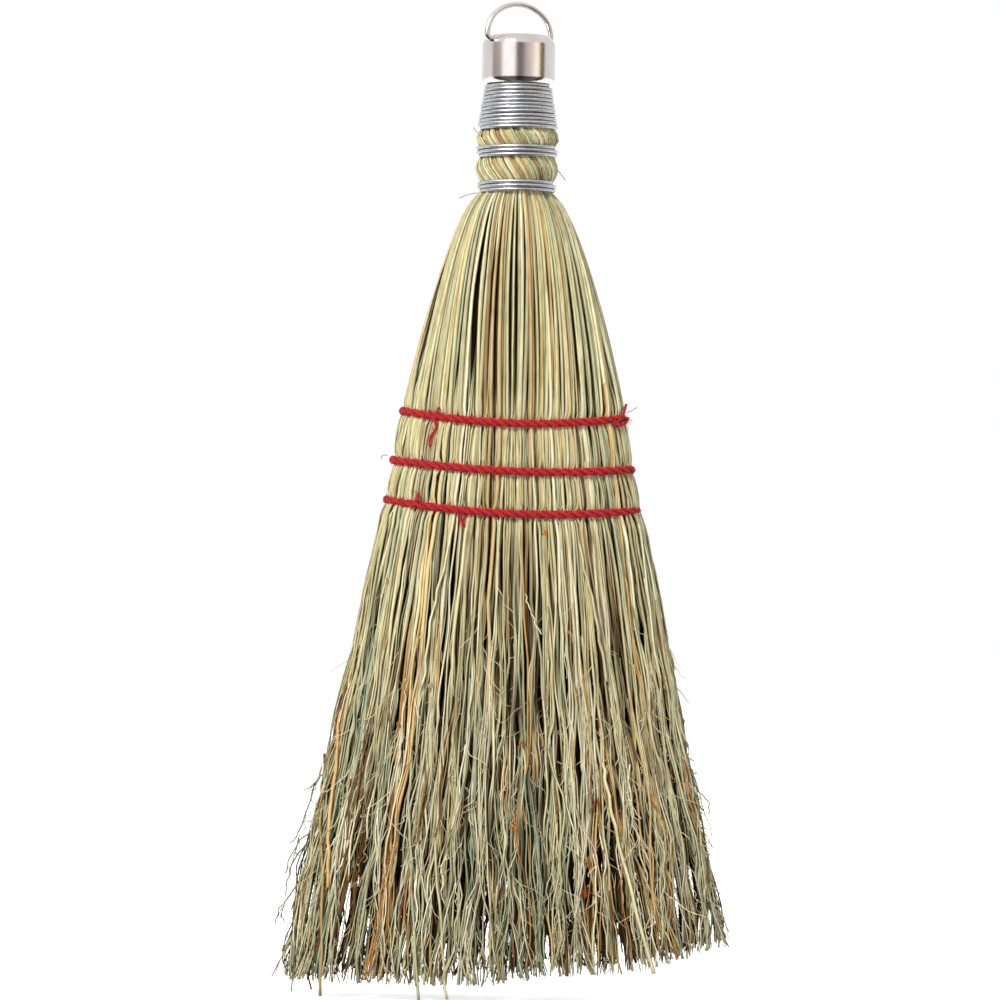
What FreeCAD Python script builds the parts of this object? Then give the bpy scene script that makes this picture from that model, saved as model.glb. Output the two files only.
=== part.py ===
import FreeCAD, Part
import math
import os

# Hand whisk broom: bundles of straw bound at the neck with wire, sewn flat with three rows of
# twine, and capped with a pressed metal cap that carries a swinging hang ring.
# Millimetres, +Z up. The broom stands on its trimmed tips, with the origin at their middle.
# Front is -Y, and left and right are as seen from the front.

V = FreeCAD.Vector

# Straw bundles
FACE_BUNDLES = 14  # on each broad face, with one wider bundle on each narrow edge
EDGE_SHARE = 0.86  # the edge bundles start at this share of the half width
EDGE_NECK_ANGLE = 12.0  # half of the neck's circle that an edge bundle takes, in degrees
BUNDLE_GAP = 0.4  # side gap between neighbouring bundles
FLUTE_DEPTH = 0.7  # how far a bundle's corners lie behind its crown
EDGE_FLUTES = 5  # ribs down each edge bundle
EDGE_FLUTE_DEPTH = 1.1  # how deep the hollows between them are in the brush
NECK_LAYER = 3.0  # thickness of the bundle layer at the neck
BRUSH_LAYER = 6.0  # and in the sewn part and the brush
CORE_GAP = 0.5  # between the bundle layer and the inner straw

# Brush outline
TIP_HALF_WIDTH = 69.5
TIP_HALF_DEPTH = 18.5
SEWN_HALF_WIDTH = 35.6  # at the upper row of sewing
SEWN_HALF_DEPTH = 13.2
FACE_SQUARENESS = 2.7  # superellipse exponent of the flattened section, 2 is an ellipse
FLARE_POWER = 0.63  # how fast the straw spreads below the lowest wire band
TIP_DRIFT = 0.8  # the tips stand this far right of the neck
FLARE_LEVELS = (0.05, 0.15, 0.32, 0.55)  # where the spreading straw changes slope

# Inner straw
CORE_LEVELS = (0.12, 0.35, 0.65, 1.0)  # where it changes slope
CORE_FOOT = 6.0  # height of its lower end
CORE_SPLITS = 13  # slots across it
CORE_SPLIT_DROP = 68.4  # they start this far below the lower row of sewing
CORE_SPLIT_WIDTH = 2.4  # slot width at the foot

# Split straw ends
FACE_SPLITS = 3  # slots in each face bundle
EDGE_SPLITS = 6  # slots in each edge bundle
SPLIT_DROP = 30.4  # the slots start this far below the lower row of sewing
SPLIT_START = 0.1  # slot width there
SPLIT_WIDTH = 1.2  # slot width at the tips
TIP_RAGGED = 5.0  # how much the tips differ in length
TIP_FLUSH_SHARE = 0.25  # share of the tips that reach the trim line
TRIM_RISE = 11.0  # the trim line climbs this much at the right edge
TRIM_RISE_FROM = 19.0  # and starts to climb this far right of the middle

# Cap
CAP_TOP_Z = 294.7
CAP_HEIGHT = 14.9
CAP_RADIUS = 11.15
CAP_WALL = 0.5
CAP_SHOULDER = 3.4
CAP_LIP_HEIGHT = 1.9  # the rim is rolled inwards over this height
CAP_LIP_INSET = 0.9
CAP_STRAW_GAP = 0.35  # between the cap's wall and the straw inside it
CAP_HEM_GAP = 0.6  # between the rolled rim and the straw
CAP_TURN = 38.0  # degrees that the cap is turned on the neck

# Cap tack
TACK_HEAD_RADIUS = 2.3
TACK_HEAD_HEIGHT = 0.45
TACK_SHANK_RADIUS = 0.7
TACK_LENGTH = 15.0
TACK_CLEARANCE = 0.05

# Hang ring
RING_WIRE = 1.7
RING_CAP_GAP = 0.35  # between the ring's legs and the cap
RING_HOLE_CLEARANCE = 0.1
RING_HOLE_DROP = 0.05  # between the cap's top plate and its ring holes
RING_BEND = 1.2
RING_SIDE_RADIUS = 8.5
RING_HEIGHT = 10.95  # centre line, from the pivot to the top
RING_PIN_REACH = 3.9  # how far its ends reach in from the cap's side
RING_PIN_DROP = 0.3  # between its ends and the straw below them

# Binding wire
WIRE_DIAMETER = 0.76
WIRE_GAP = 0.41  # between turns
WIRE_SEAT = 0.22  # between the wire and the straw
WIRE_CAP_GAP = 0.3  # between the highest turn and the cap's rim
WINDING_TURNS = 12  # seen from the front
BAND_TURNS = 3
WINDING_TO_BAND = 7.3  # from the lowest turn of the winding to the middle of the next band
BAND_TO_BAND = 10.7
WINDING_FOOT_RADIUS = 11.2  # straw radius under the lowest turn
MIDDLE_BAND_RADIUS = 11.3
LOWER_BAND_RADIUS = 10.9
BULGE_RADIUS = 12.4  # straw between the bands
NECK_TWIST = 34.0  # degrees that the binding has turned the straw
WIRE_START = 190.0  # the wires' ends lie at the left and right of the neck, in degrees
WIRE_END = 350.0
WIRE_FRONT = 270.0

# Sewing twine, row by row from the top
ROWS = ("upper", "middle", "lower")
FLARE_HEIGHT = 70.01  # from the lowest band down to the upper row
UPPER_TO_MIDDLE_ROW = 14.6
MIDDLE_TO_LOWER_ROW = 12.9
ROW_SAG = {"upper": 3.0, "middle": 2.2, "lower": 3.0}  # ends above the middle
ROW_DROP = {"upper": 1.4, "middle": 2.0, "lower": 2.3}  # right end below the left
ROW_CINCH = 0.8  # how deep the twine draws the straw in
CINCH_FADE = 3  # the straw is full again after this many half heights of a row
ROW_TURNS = 2
TWINE_DIAMETER = 1.25
TWINE_GAP = 0.46  # between the turns of a row
TWINE_SEAT = 0.25  # between the twine and the straw
STITCH_DIAMETER = 1.0
STITCH_CLEARANCE = 0.2  # round a stitch where it passes through the straw
STITCH_BEND = 1.1  # where a stitch turns into the straw
STITCH_LIFT = 0.55  # between a stitch and the turns that it crosses
TWINE_SPANS = 24  # stretches of a turn

BUNDLES = 2 * (FACE_BUNDLES + 1)
CAP_MOUTH_Z = CAP_TOP_Z - CAP_HEIGHT
CAP_INNER_RADIUS = CAP_RADIUS - CAP_WALL
CAP_STRAW_RADIUS = CAP_INNER_RADIUS - CAP_STRAW_GAP
WINDING_HEAD_RADIUS = CAP_INNER_RADIUS - CAP_LIP_INSET - CAP_HEM_GAP
RING_RADIUS = RING_WIRE / 2
RING_HOLE_RADIUS = RING_RADIUS + RING_HOLE_CLEARANCE
RING_HALF_SPAN = CAP_RADIUS + RING_CAP_GAP + RING_RADIUS
RING_PIVOT_Z = CAP_TOP_Z - CAP_WALL - RING_HOLE_DROP - RING_HOLE_RADIUS
STRAW_TOP_Z = RING_PIVOT_Z - RING_RADIUS - RING_PIN_DROP
WIRE_PITCH = WIRE_DIAMETER + WIRE_GAP
WINDING_HEAD_Z = CAP_MOUTH_Z - WIRE_CAP_GAP - WIRE_DIAMETER / 2
WINDING_FOOT_Z = WINDING_HEAD_Z - (WINDING_TURNS - 1) * WIRE_PITCH
MIDDLE_BAND_Z = WINDING_FOOT_Z - WINDING_TO_BAND
LOWER_BAND_Z = MIDDLE_BAND_Z - BAND_TO_BAND
BAND_HALF_HEIGHT = (BAND_TURNS - 1) * WIRE_PITCH / 2 + WIRE_PITCH
FLARE_HEAD_Z = LOWER_BAND_Z - BAND_HALF_HEIGHT
FLARE_FOOT_Z = FLARE_HEAD_Z - FLARE_HEIGHT
MIDDLE_ROW_Z = FLARE_FOOT_Z - UPPER_TO_MIDDLE_ROW
LOWER_ROW_Z = MIDDLE_ROW_Z - MIDDLE_TO_LOWER_ROW
ROW_HEIGHT = {"upper": FLARE_FOOT_Z, "middle": MIDDLE_ROW_Z, "lower": LOWER_ROW_Z}
SPLIT_TOP = LOWER_ROW_Z - SPLIT_DROP
CORE_SPLIT_TOP = LOWER_ROW_Z - CORE_SPLIT_DROP
TWINE_PITCH = TWINE_DIAMETER + TWINE_GAP
ROW_HALF_HEIGHT = ((ROW_TURNS - 1) * TWINE_PITCH + TWINE_DIAMETER) / 2
STITCH_HOLE_RADIUS = STITCH_DIAMETER / 2 + STITCH_CLEARANCE
STITCH_RISE = ROW_HALF_HEIGHT + STITCH_LIFT + STITCH_DIAMETER / 2
CINCH_HALF_HEIGHT = STITCH_RISE + STITCH_HOLE_RADIUS
GOLDEN = (math.sqrt(5) - 1) / 2
TRIM_OVERRUN = 1.0  # straw passes the trim line this far before it is cut
CUT_BEYOND = 0.5  # cutters pass a bundle's faces by this share of its size


def mix(start, end, share):
    return start + (end - start) * share


def flare_share(z):
    """0 at the lowest wire band and above, 1 at the upper row of sewing and below."""
    depth = (FLARE_HEAD_Z - z) / (FLARE_HEAD_Z - FLARE_FOOT_Z)
    return min(1.0, max(0.0, depth)) ** FLARE_POWER


def neck_stations():
    """Heights and straw radii of the round neck, from the lowest band up."""
    winding_foot = WINDING_FOOT_Z - WIRE_PITCH
    upper_bulge = (MIDDLE_BAND_Z + BAND_HALF_HEIGHT + winding_foot) / 2
    return [
        (FLARE_HEAD_Z, LOWER_BAND_RADIUS),
        (LOWER_BAND_Z + BAND_HALF_HEIGHT, LOWER_BAND_RADIUS),
        ((LOWER_BAND_Z + MIDDLE_BAND_Z) / 2, BULGE_RADIUS),
        (MIDDLE_BAND_Z - BAND_HALF_HEIGHT, MIDDLE_BAND_RADIUS),
        (MIDDLE_BAND_Z + BAND_HALF_HEIGHT, MIDDLE_BAND_RADIUS),
        (upper_bulge, BULGE_RADIUS),
        (winding_foot, WINDING_FOOT_RADIUS),
        (CAP_MOUTH_Z, WINDING_HEAD_RADIUS),
        (CAP_MOUTH_Z + 2 * CAP_LIP_HEIGHT, CAP_STRAW_RADIUS),
        (STRAW_TOP_Z, CAP_STRAW_RADIUS),
    ]


def neck_radius(z):
    stations = neck_stations()
    for (z0, r0), (z1, r1) in zip(stations, stations[1:]):
        if z <= z1:
            return mix(r0, r1, (z - z0) / (z1 - z0))
    return stations[-1][1]


def half_sizes(z):
    """Half width and half depth of the straw at a height, without the rows' cinch."""
    if z >= FLARE_HEAD_Z:
        return neck_radius(z), neck_radius(z)
    if z >= FLARE_FOOT_Z:
        share = flare_share(z)
        return (
            mix(LOWER_BAND_RADIUS, SEWN_HALF_WIDTH, share),
            mix(LOWER_BAND_RADIUS, SEWN_HALF_DEPTH, share),
        )
    share = 1 - z / FLARE_FOOT_Z
    return mix(SEWN_HALF_WIDTH, TIP_HALF_WIDTH, share), mix(SEWN_HALF_DEPTH, TIP_HALF_DEPTH, share)


def middle_x(z):
    """Middle of the straw, which drifts to one side below the sewing."""
    return TIP_DRIFT * max(0.0, 1 - z / FLARE_FOOT_Z)


def layer(z):
    return mix(NECK_LAYER, BRUSH_LAYER, flare_share(z))


def twist(z):
    """Turn of the straw about the neck, in radians, from the lowest band up."""
    share = (z - LOWER_BAND_Z) / (WINDING_FOOT_Z - LOWER_BAND_Z)
    return -math.radians(NECK_TWIST) * min(1.0, max(0.0, share))


def superellipse(angle, half_width, half_depth, exponent):
    c, s = math.cos(angle), math.sin(angle)
    x = half_width * math.copysign(abs(c) ** (2 / exponent), c)
    return V(x, half_depth * math.copysign(abs(s) ** (2 / exponent), s), 0)


def is_edge(index):
    return index % (FACE_BUNDLES + 1) == 0


def boundary_angle(index, z):
    """Where bundle index ends and the next one starts, going round from the right edge."""
    half, k = divmod(index % BUNDLES, FACE_BUNDLES + 1)
    share = k / FACE_BUNDLES
    edge = math.radians(EDGE_NECK_ANGLE)
    neck = mix(edge, math.pi - edge, share)
    across = EDGE_SHARE * (1 - 2 * share)
    sewn = math.acos(math.copysign(abs(across) ** (FACE_SQUARENESS / 2), across))
    return mix(neck, sewn, flare_share(z)) + math.pi * half + twist(z)


def outline_point(angle, z, inset):
    half_width, half_depth = half_sizes(z)
    exponent = mix(2.0, FACE_SQUARENESS, flare_share(z))
    point = superellipse(angle, half_width - inset, half_depth - inset, exponent)
    return point + V(middle_x(z), 0, z)


def face_depth(x, z, inset):
    """Half depth of the flattened straw at a place across it."""
    half_width, half_depth = half_sizes(z)
    across = abs(x - middle_x(z)) / (half_width - inset)
    return (half_depth - inset) * (1 - across**FACE_SQUARENESS) ** (1 / FACE_SQUARENESS)


def inner_point(angle, z, inset):
    """Inner end of a bundle's side: radial at the neck, straight in from the face below."""
    radial = outline_point(angle, z, inset + layer(z))
    outer = outline_point(angle, z, inset + FLUTE_DEPTH)
    straight = outer - V(0, math.copysign(layer(z) - FLUTE_DEPTH, outer.y), 0)
    return mix(radial, straight, flare_share(z))


def bundle_angles(index, z):
    """Where a bundle starts and ends, going round from the right edge."""
    first, last = boundary_angle(index - 1, z), boundary_angle(index, z)
    if last < first:
        first -= 2 * math.pi
    return first, last


def bundle_corners(index, z, cinch=0.0, gap=BUNDLE_GAP):
    """Outer corners, inner corners and crown of a bundle's section."""
    first, last = bundle_angles(index, z)
    outer = [outline_point(angle, z, cinch + FLUTE_DEPTH) for angle in (first, last)]
    inner = [inner_point(angle, z, cinch) for angle in (first, last)]
    along = (outer[1] - outer[0]).normalize() * (gap / 2)
    spreads = [along, -along]
    if is_edge(index):
        outwards = V(math.copysign(gap / 2, outer[0].x), 0, 0)
        spreads = [mix(spread, outwards, flare_share(z)) for spread in spreads]
    outer = [p + spread for p, spread in zip(outer, spreads)]
    inner = [p + spread for p, spread in zip(inner, spreads)]
    return outer, inner, outline_point((first + last) / 2, z, cinch)


def edge_ribs(index, z, cinch):
    """Crowns and hollows of an edge bundle's ribs in turn, at even steps across the edge."""
    first, last = bundle_angles(index, z)
    share = flare_share(z)
    power = mix(2.0, FACE_SQUARENESS, share) / 2
    points = []
    for k in range(1, 2 * EDGE_FLUTES):
        across = k / EDGE_FLUTES - 1
        turn = math.asin(math.copysign(abs(across) ** power, across) * math.sin((last - first) / 2))
        depth = 0.0 if k % 2 else EDGE_FLUTE_DEPTH
        inset = mix(FLUTE_DEPTH * across**2, depth, share)
        points.append(outline_point((first + last) / 2 + turn, z, cinch + inset))
    return points


def bundle_section(index, z, cinch, gap, lift):
    """A closed outline: a crowned or ribbed outer face, two sides and a flat inner face."""
    (a, b), (d, c), crown = bundle_corners(index, z, cinch, gap)
    face = edge_ribs(index, z, cinch) if is_edge(index) else [crown]
    rise = V(0, 0, lift)
    outer = [p + rise for p in (a, *face, b)]
    sides = [p + rise for p in (b, c, d, a)]
    edges = [Part.Arc(*outer[k : k + 3]).toShape() for k in range(0, len(outer) - 2, 2)]
    edges += [Part.LineSegment(p, q).toShape() for p, q in zip(sides, sides[1:])]
    return Part.Wire(edges)


def row_offset(row, x):
    """How far a row of sewing lies above its middle at a place across the brush."""
    z = ROW_HEIGHT[row]
    across = (x - middle_x(z)) / half_sizes(z)[0]
    return ROW_SAG[row] * across**2 - ROW_DROP[row] / 2 * across


def sewn_levels():
    """Heights of the sections about the sewing: each with its rows, and if it is cinched."""
    levels = [(ROW_HEIGHT[ROWS[0]] + CINCH_FADE * CINCH_HALF_HEIGHT, ROWS[:1], False)]
    for k, row in enumerate(ROWS):
        levels += [(ROW_HEIGHT[row] + s * CINCH_HALF_HEIGHT, [row], True) for s in (1, -1)]
        if k + 1 < len(ROWS):
            pair = ROWS[k : k + 2]
            levels.append((sum(ROW_HEIGHT[r] for r in pair) / 2, pair, False))
    levels.append((ROW_HEIGHT[ROWS[-1]] - CINCH_FADE * CINCH_HALF_HEIGHT, ROWS[-1:], False))
    return levels


def bundle_body(index):
    """A bundle from the cap down to the tips, before its ends are split and trimmed."""
    flare = [mix(FLARE_HEAD_Z, FLARE_FOOT_Z, share) for share in FLARE_LEVELS]
    plain = [z for z, _ in reversed(neck_stations())] + flare
    wires = [bundle_section(index, z, 0.0, BUNDLE_GAP, 0.0) for z in plain]
    x = bundle_corners(index, FLARE_FOOT_Z)[2].x
    for z, rows, cinched in sewn_levels():
        lift = sum(row_offset(row, x) for row in rows) / len(rows)
        cinch, gap = (ROW_CINCH, 2 * STITCH_HOLE_RADIUS) if cinched else (0.0, BUNDLE_GAP)
        wires.append(bundle_section(index, z, cinch, gap, lift))
    wires.append(bundle_section(index, -TRIM_OVERRUN, 0.0, BUNDLE_GAP, 0.0))
    return Part.makeLoft(wires, True, True)


def across_bundle(index, z, share, depth):
    """A point of a section: share runs from side to side, depth from inner face to crown."""
    _, (d, c), crown = bundle_corners(index, z)
    return mix(d, c, share) + (crown - (d + c) * 0.5) * depth


def cutter(index, low, high, low_shares, high_shares):
    """A block right through a bundle between two heights and two places across it."""
    wires = []
    for z, (first, last) in ((low, low_shares), (high, high_shares)):
        inside, outside = -CUT_BEYOND, 1 + CUT_BEYOND
        corners = [(first, inside), (last, inside), (last, outside), (first, outside)]
        points = [across_bundle(index, z, *corner) for corner in corners]
        wires.append(Part.makePolygon(points + points[:1]))
    return Part.makeLoft(wires, True, True)


def trim_height(x):
    """Height of the trim line across the brush."""
    over = max(0.0, (x - TRIM_RISE_FROM) / (TIP_HALF_WIDTH - TRIM_RISE_FROM))
    return TRIM_RISE * over**2


def tip_height(index, split, x):
    step = (GOLDEN * (index * (FACE_SPLITS + 1) + split)) % 1.0
    ragged = max(0.0, (step - TIP_FLUSH_SHARE) / (1 - TIP_FLUSH_SHARE))
    return trim_height(x) + TIP_RAGGED * ragged


def split_shares(index, z, at, width):
    _, (d, c), _ = bundle_corners(index, z)
    half = width / 2 / d.distanceToPoint(c)
    return at - half, at + half


def straw_bundle(index):
    """One bundle of straw, split into tapering ends that are trimmed to uneven lengths."""
    splits = EDGE_SPLITS if is_edge(index) else FACE_SPLITS
    foot = -2 * TRIM_OVERRUN
    slots = []
    for k in range(1, splits + 1):
        at = k / (splits + 1)
        wide = split_shares(index, foot, at, SPLIT_WIDTH)
        thin = split_shares(index, SPLIT_TOP, at, SPLIT_START)
        slots.append(cutter(index, foot, SPLIT_TOP, wide, thin))
    ends = []
    spare = SPLIT_WIDTH / 4
    for k in range(splits + 1):
        first, last = -CUT_BEYOND, 1 + CUT_BEYOND
        if k > 0:
            first = split_shares(index, 0, k / (splits + 1), spare)[1]
        if k < splits:
            last = split_shares(index, 0, (k + 1) / (splits + 1), spare)[0]
        x = across_bundle(index, 0, (k + 0.5) / (splits + 1), 0.5).x
        top = tip_height(index, k, x)
        ends.append(cutter(index, foot, top, (first, last), (first, last)))
    return bundle_body(index).cut(slots).cut(ends)


def core_half_width(z):
    half_width = half_sizes(z)[0]
    return mix(half_width - layer(z), half_width * EDGE_SHARE, flare_share(z)) - CORE_GAP


def core_section(z):
    """An oval that fills the space inside the bundle layer."""
    share = flare_share(z)
    deep = half_sizes(z)[1] - layer(z) - CORE_GAP - ROW_CINCH * share
    centre = V(middle_x(z), 0, z)
    if share == 0:
        return Part.Wire([Part.Circle(centre, V(0, 0, 1), deep).toShape()])
    oval = Part.Ellipse(centre + V(core_half_width(z), 0, 0), centre + V(0, deep, 0), centre)
    return Part.Wire([oval.toShape()])


def core_slots():
    """Cutters that split the inner straw's lower end."""
    slots = []
    for k in range(1, CORE_SPLITS + 1):
        across = mix(-1.0, 1.0, k / (CORE_SPLITS + 1))
        wires = []
        levels = ((CORE_FOOT - TRIM_OVERRUN, CORE_SPLIT_WIDTH), (CORE_SPLIT_TOP, SPLIT_START))
        for z, width in levels:
            x, deep = middle_x(z) + across * core_half_width(z), half_sizes(z)[1]
            signs = ((-1, -1), (1, -1), (1, 1), (-1, 1))
            corners = [V(x + i * width / 2, j * deep, z) for i, j in signs]
            wires.append(Part.makePolygon(corners + corners[:1]))
        slots.append(Part.makeLoft(wires, True, True))
    return slots


def stitch_runs(row):
    """Where a row's stitches pass through the straw: x, half depth and height of each."""
    out = TWINE_SEAT + TWINE_DIAMETER + STITCH_LIFT + STITCH_DIAMETER / 2
    runs = []
    for k in range(1, FACE_BUNDLES):
        z = ROW_HEIGHT[row] + (-STITCH_RISE if k % 2 else STITCH_RISE)
        x = outline_point(boundary_angle(FACE_BUNDLES + 1 + k, z), z, ROW_CINCH + FLUTE_DEPTH).x
        depth = face_depth(x, ROW_HEIGHT[row], ROW_CINCH - out)
        runs.append(V(x, depth, z + row_offset(row, x)))
    return runs


def straw_core():
    """The inner straw, pierced by the stitches and the cap tack and split at its lower end."""
    levels = [STRAW_TOP_Z, CAP_MOUTH_Z, WINDING_FOOT_Z, MIDDLE_BAND_Z, LOWER_BAND_Z, FLARE_HEAD_Z]
    levels += [mix(FLARE_HEAD_Z, FLARE_FOOT_Z, share) for share in CORE_LEVELS]
    levels.append(CORE_FOOT)
    body = Part.makeLoft([core_section(z) for z in levels], True, True)
    holes = []
    for row in ROWS:
        for run in stitch_runs(row):
            start = V(run.x, -run.y, run.z)
            holes.append(Part.makeCylinder(STITCH_HOLE_RADIUS, 2 * run.y, start, V(0, 1, 0)))
    depth = STRAW_TOP_Z - (CAP_TOP_Z - TACK_LENGTH) + TACK_CLEARANCE
    radius = TACK_SHANK_RADIUS + TACK_CLEARANCE
    holes.append(Part.makeCylinder(radius, depth, V(0, 0, STRAW_TOP_Z - depth)))
    return body.cut(holes).cut(core_slots())


def arc_between(start, corner, end):
    """The arc that leaves start and reaches end along the two equal sides of a corner."""
    middle = (start + end) * 0.5
    cosine = start.distanceToPoint(middle) / start.distanceToPoint(corner)
    return Part.Arc(start, middle + (corner - middle) * (cosine / (1 + cosine)), end).toShape()


def biarc(p, p_way, q, q_way):
    """Two arcs from p to q that keep the ways given at both ends."""
    chord, ways = q - p, p_way + q_way
    spread = 4 - ways.dot(ways)
    along = chord.dot(ways)
    reach = (math.sqrt(along**2 + spread * chord.dot(chord)) - along) / spread
    a, b = p + p_way * reach, q - q_way * reach
    joint = (a + b) * 0.5
    return [arc_between(p, a, joint), arc_between(joint, b, q)]


def wound_path(place, spans, tail):
    """Biarcs along place(0..1), with straight ends as long as tail."""
    step = 1e-4
    points, ways = [], []
    for k in range(spans + 1):
        points.append(place(k / spans))
        ways.append((place(k / spans + step) - place(k / spans - step)).normalize())
    edges = [Part.LineSegment(points[0] - ways[0] * tail, points[0]).toShape()]
    for k in range(spans):
        edges += biarc(points[k], ways[k], points[k + 1], ways[k + 1])
    edges.append(Part.LineSegment(points[-1], points[-1] + ways[-1] * tail).toShape())
    return Part.Wire(edges)


def tube(path, diameter):
    """A round tube along a path."""
    edge = path.Edges[0]
    start = edge.valueAt(edge.FirstParameter)
    way = edge.tangentAt(edge.FirstParameter)
    profile = Part.Wire([Part.Circle(start, way, diameter / 2).toShape()])
    return path.makePipeShell([profile], True, False)


def print_least_gap(name, path, diameter, near):
    """Prints the smallest gap between turns that lie further than near along the path."""
    step = diameter / 2
    points = path.discretize(Distance=step)
    skip = int(near / step)
    least = min(
        points[i].distanceToPoint(q) for i in range(len(points)) for q in points[i + skip :]
    )
    print(f"{name}: least gap to itself {least - diameter:.2f} mm")


def wire_winding(name, foot_z, turns, foot_radius, head_radius):
    """A binding wire that climbs the neck, seen as so many turns from the front."""
    start, end = math.radians(WIRE_START), math.radians(WIRE_END) + 2 * math.pi * (turns - 1)
    front = math.radians(WIRE_FRONT)
    out = WIRE_DIAMETER / 2 + WIRE_SEAT

    def place(share):
        angle = mix(start, end, share)
        climb = (angle - front) / (2 * math.pi)
        radius = mix(foot_radius, head_radius, climb / (turns - 1)) + out
        return V(radius * math.cos(angle), radius * math.sin(angle), foot_z + climb * WIRE_PITCH)

    path = wound_path(place, math.ceil((end - start) / (math.pi / 2)), WIRE_DIAMETER)
    print_least_gap(name, path, WIRE_DIAMETER, math.pi * foot_radius)
    return tube(path, WIRE_DIAMETER)


def neck_winding(name):
    radii = (WINDING_FOOT_RADIUS, WINDING_HEAD_RADIUS)
    return wire_winding(name, WINDING_FOOT_Z, WINDING_TURNS, *radii)


def band(name, z, radius):
    foot = z - (BAND_TURNS - 1) * WIRE_PITCH / 2
    return wire_winding(name, foot, BAND_TURNS, radius, radius)


def even_angles(half_width, half_depth, exponent, count):
    """Angles that divide a superellipse into stretches of equal length."""
    fine = 3600
    angles = [2 * math.pi * i / fine for i in range(fine + 1)]
    points = [superellipse(a, half_width, half_depth, exponent) for a in angles]
    lengths = [0.0]
    for p, q in zip(points, points[1:]):
        lengths.append(lengths[-1] + p.distanceToPoint(q))
    found, i = [], 0
    for k in range(count + 1):
        target = lengths[-1] * k / count
        while i + 2 < len(lengths) and lengths[i + 1] < target:
            i += 1
        share = (target - lengths[i]) / (lengths[i + 1] - lengths[i])
        found.append(mix(angles[i], angles[i + 1], share))
    return found


def twine_turns(row):
    """The twine laid round the brush, one turn above the other, with both ends at an edge."""
    z = ROW_HEIGHT[row]
    out = TWINE_SEAT + TWINE_DIAMETER / 2 - ROW_CINCH
    half_width, half_depth = (size + out for size in half_sizes(z))
    angles = even_angles(half_width, half_depth, FACE_SQUARENESS, TWINE_SPANS)

    def place(share):
        turn, at = divmod(share * ROW_TURNS * TWINE_SPANS, TWINE_SPANS)
        k = int(at)
        angle = mix(angles[k], angles[k + 1], at - k)
        p = superellipse(angle, half_width, half_depth, FACE_SQUARENESS)
        p.x += middle_x(z)
        climb = TWINE_PITCH * (turn + at / TWINE_SPANS - ROW_TURNS / 2)
        return p + V(0, 0, z + row_offset(row, p.x) + climb)

    path = wound_path(place, ROW_TURNS * TWINE_SPANS, TWINE_DIAMETER)
    print_least_gap(f"{row}_twine_turns", path, TWINE_DIAMETER, half_width)
    return tube(path, TWINE_DIAMETER)


def rounded_path(corners, radius):
    """Straight runs joined by tangent arcs of one radius."""
    edges, at = [], corners[0]
    for p, corner, q in zip(corners, corners[1:], corners[2:]):
        back, on = (p - corner).normalize(), (q - corner).normalize()
        reach = radius * math.tan((math.pi - back.getAngle(on)) / 2)
        start, end = corner + back * reach, corner + on * reach
        edges += [Part.LineSegment(at, start).toShape(), arc_between(start, corner, end)]
        at = end
    edges.append(Part.LineSegment(at, corners[-1]).toShape())
    return Part.Wire(edges)


def twine_stitches(row):
    """One twine that zigzags through the straw, over the row's turns on both faces."""
    corners = []
    for k, run in enumerate(stitch_runs(row)):
        front, back = V(run.x, -run.y, run.z), V(run.x, run.y, run.z)
        corners += [front, back] if k % 2 else [back, front]
    return tube(rounded_path(corners, STITCH_BEND), STITCH_DIAMETER)


def turned_with_cap(shape):
    return shape.rotated(V(0, 0, 0), V(0, 0, 1), CAP_TURN)


def cap_profile(inset):
    """The cap's outline from its rolled rim up to its middle, as edges with their two ends."""
    lip = (CAP_LIP_HEIGHT**2 + CAP_LIP_INSET**2) / (2 * CAP_LIP_INSET)
    lip_turn = math.asin(CAP_LIP_HEIGHT / lip)
    lip_centre = V(CAP_RADIUS - lip, 0, CAP_MOUTH_Z + CAP_LIP_HEIGHT)
    shoulder = V(CAP_RADIUS - CAP_SHOULDER, 0, CAP_TOP_Z - CAP_SHOULDER)

    def on(centre, radius, angle):
        return centre + V(math.cos(angle), 0, math.sin(angle)) * (radius - inset)

    rim = [on(lip_centre, lip, -lip_turn * share) for share in (1, 0.5, 0)]
    bend = [on(shoulder, CAP_SHOULDER, math.pi / 2 * share) for share in (0, 0.5, 1)]
    middle = V(0, 0, CAP_TOP_Z - inset)
    edges = [Part.Arc(*rim).toShape(), Part.LineSegment(rim[2], bend[0]).toShape()]
    edges += [Part.Arc(*bend).toShape(), Part.LineSegment(bend[2], middle).toShape()]
    return edges, rim[0], middle


def cap():
    """A pressed cup with a rounded shoulder, a rolled rim, two ring holes and a tack hole."""
    outer, outer_rim, outer_top = cap_profile(0)
    inner, inner_rim, inner_top = cap_profile(CAP_WALL)
    ends = [(outer_rim, inner_rim), (outer_top, inner_top)]
    edges = outer + inner + [Part.LineSegment(p, q).toShape() for p, q in ends]
    face = Part.Face(Part.Wire(Part.__sortEdges__(edges)))
    cup = face.revolve(V(0, 0, 0), V(0, 0, 1), 360)
    pin_hole = Part.makeCylinder(
        RING_HOLE_RADIUS, 2 * RING_HALF_SPAN, V(-RING_HALF_SPAN, 0, RING_PIVOT_Z), V(1, 0, 0)
    )
    tack_radius = TACK_SHANK_RADIUS + TACK_CLEARANCE
    tack_hole = Part.makeCylinder(tack_radius, 3 * CAP_WALL, V(0, 0, CAP_TOP_Z - 2 * CAP_WALL))
    return turned_with_cap(cup.cut([pin_hole, tack_hole]))


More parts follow.
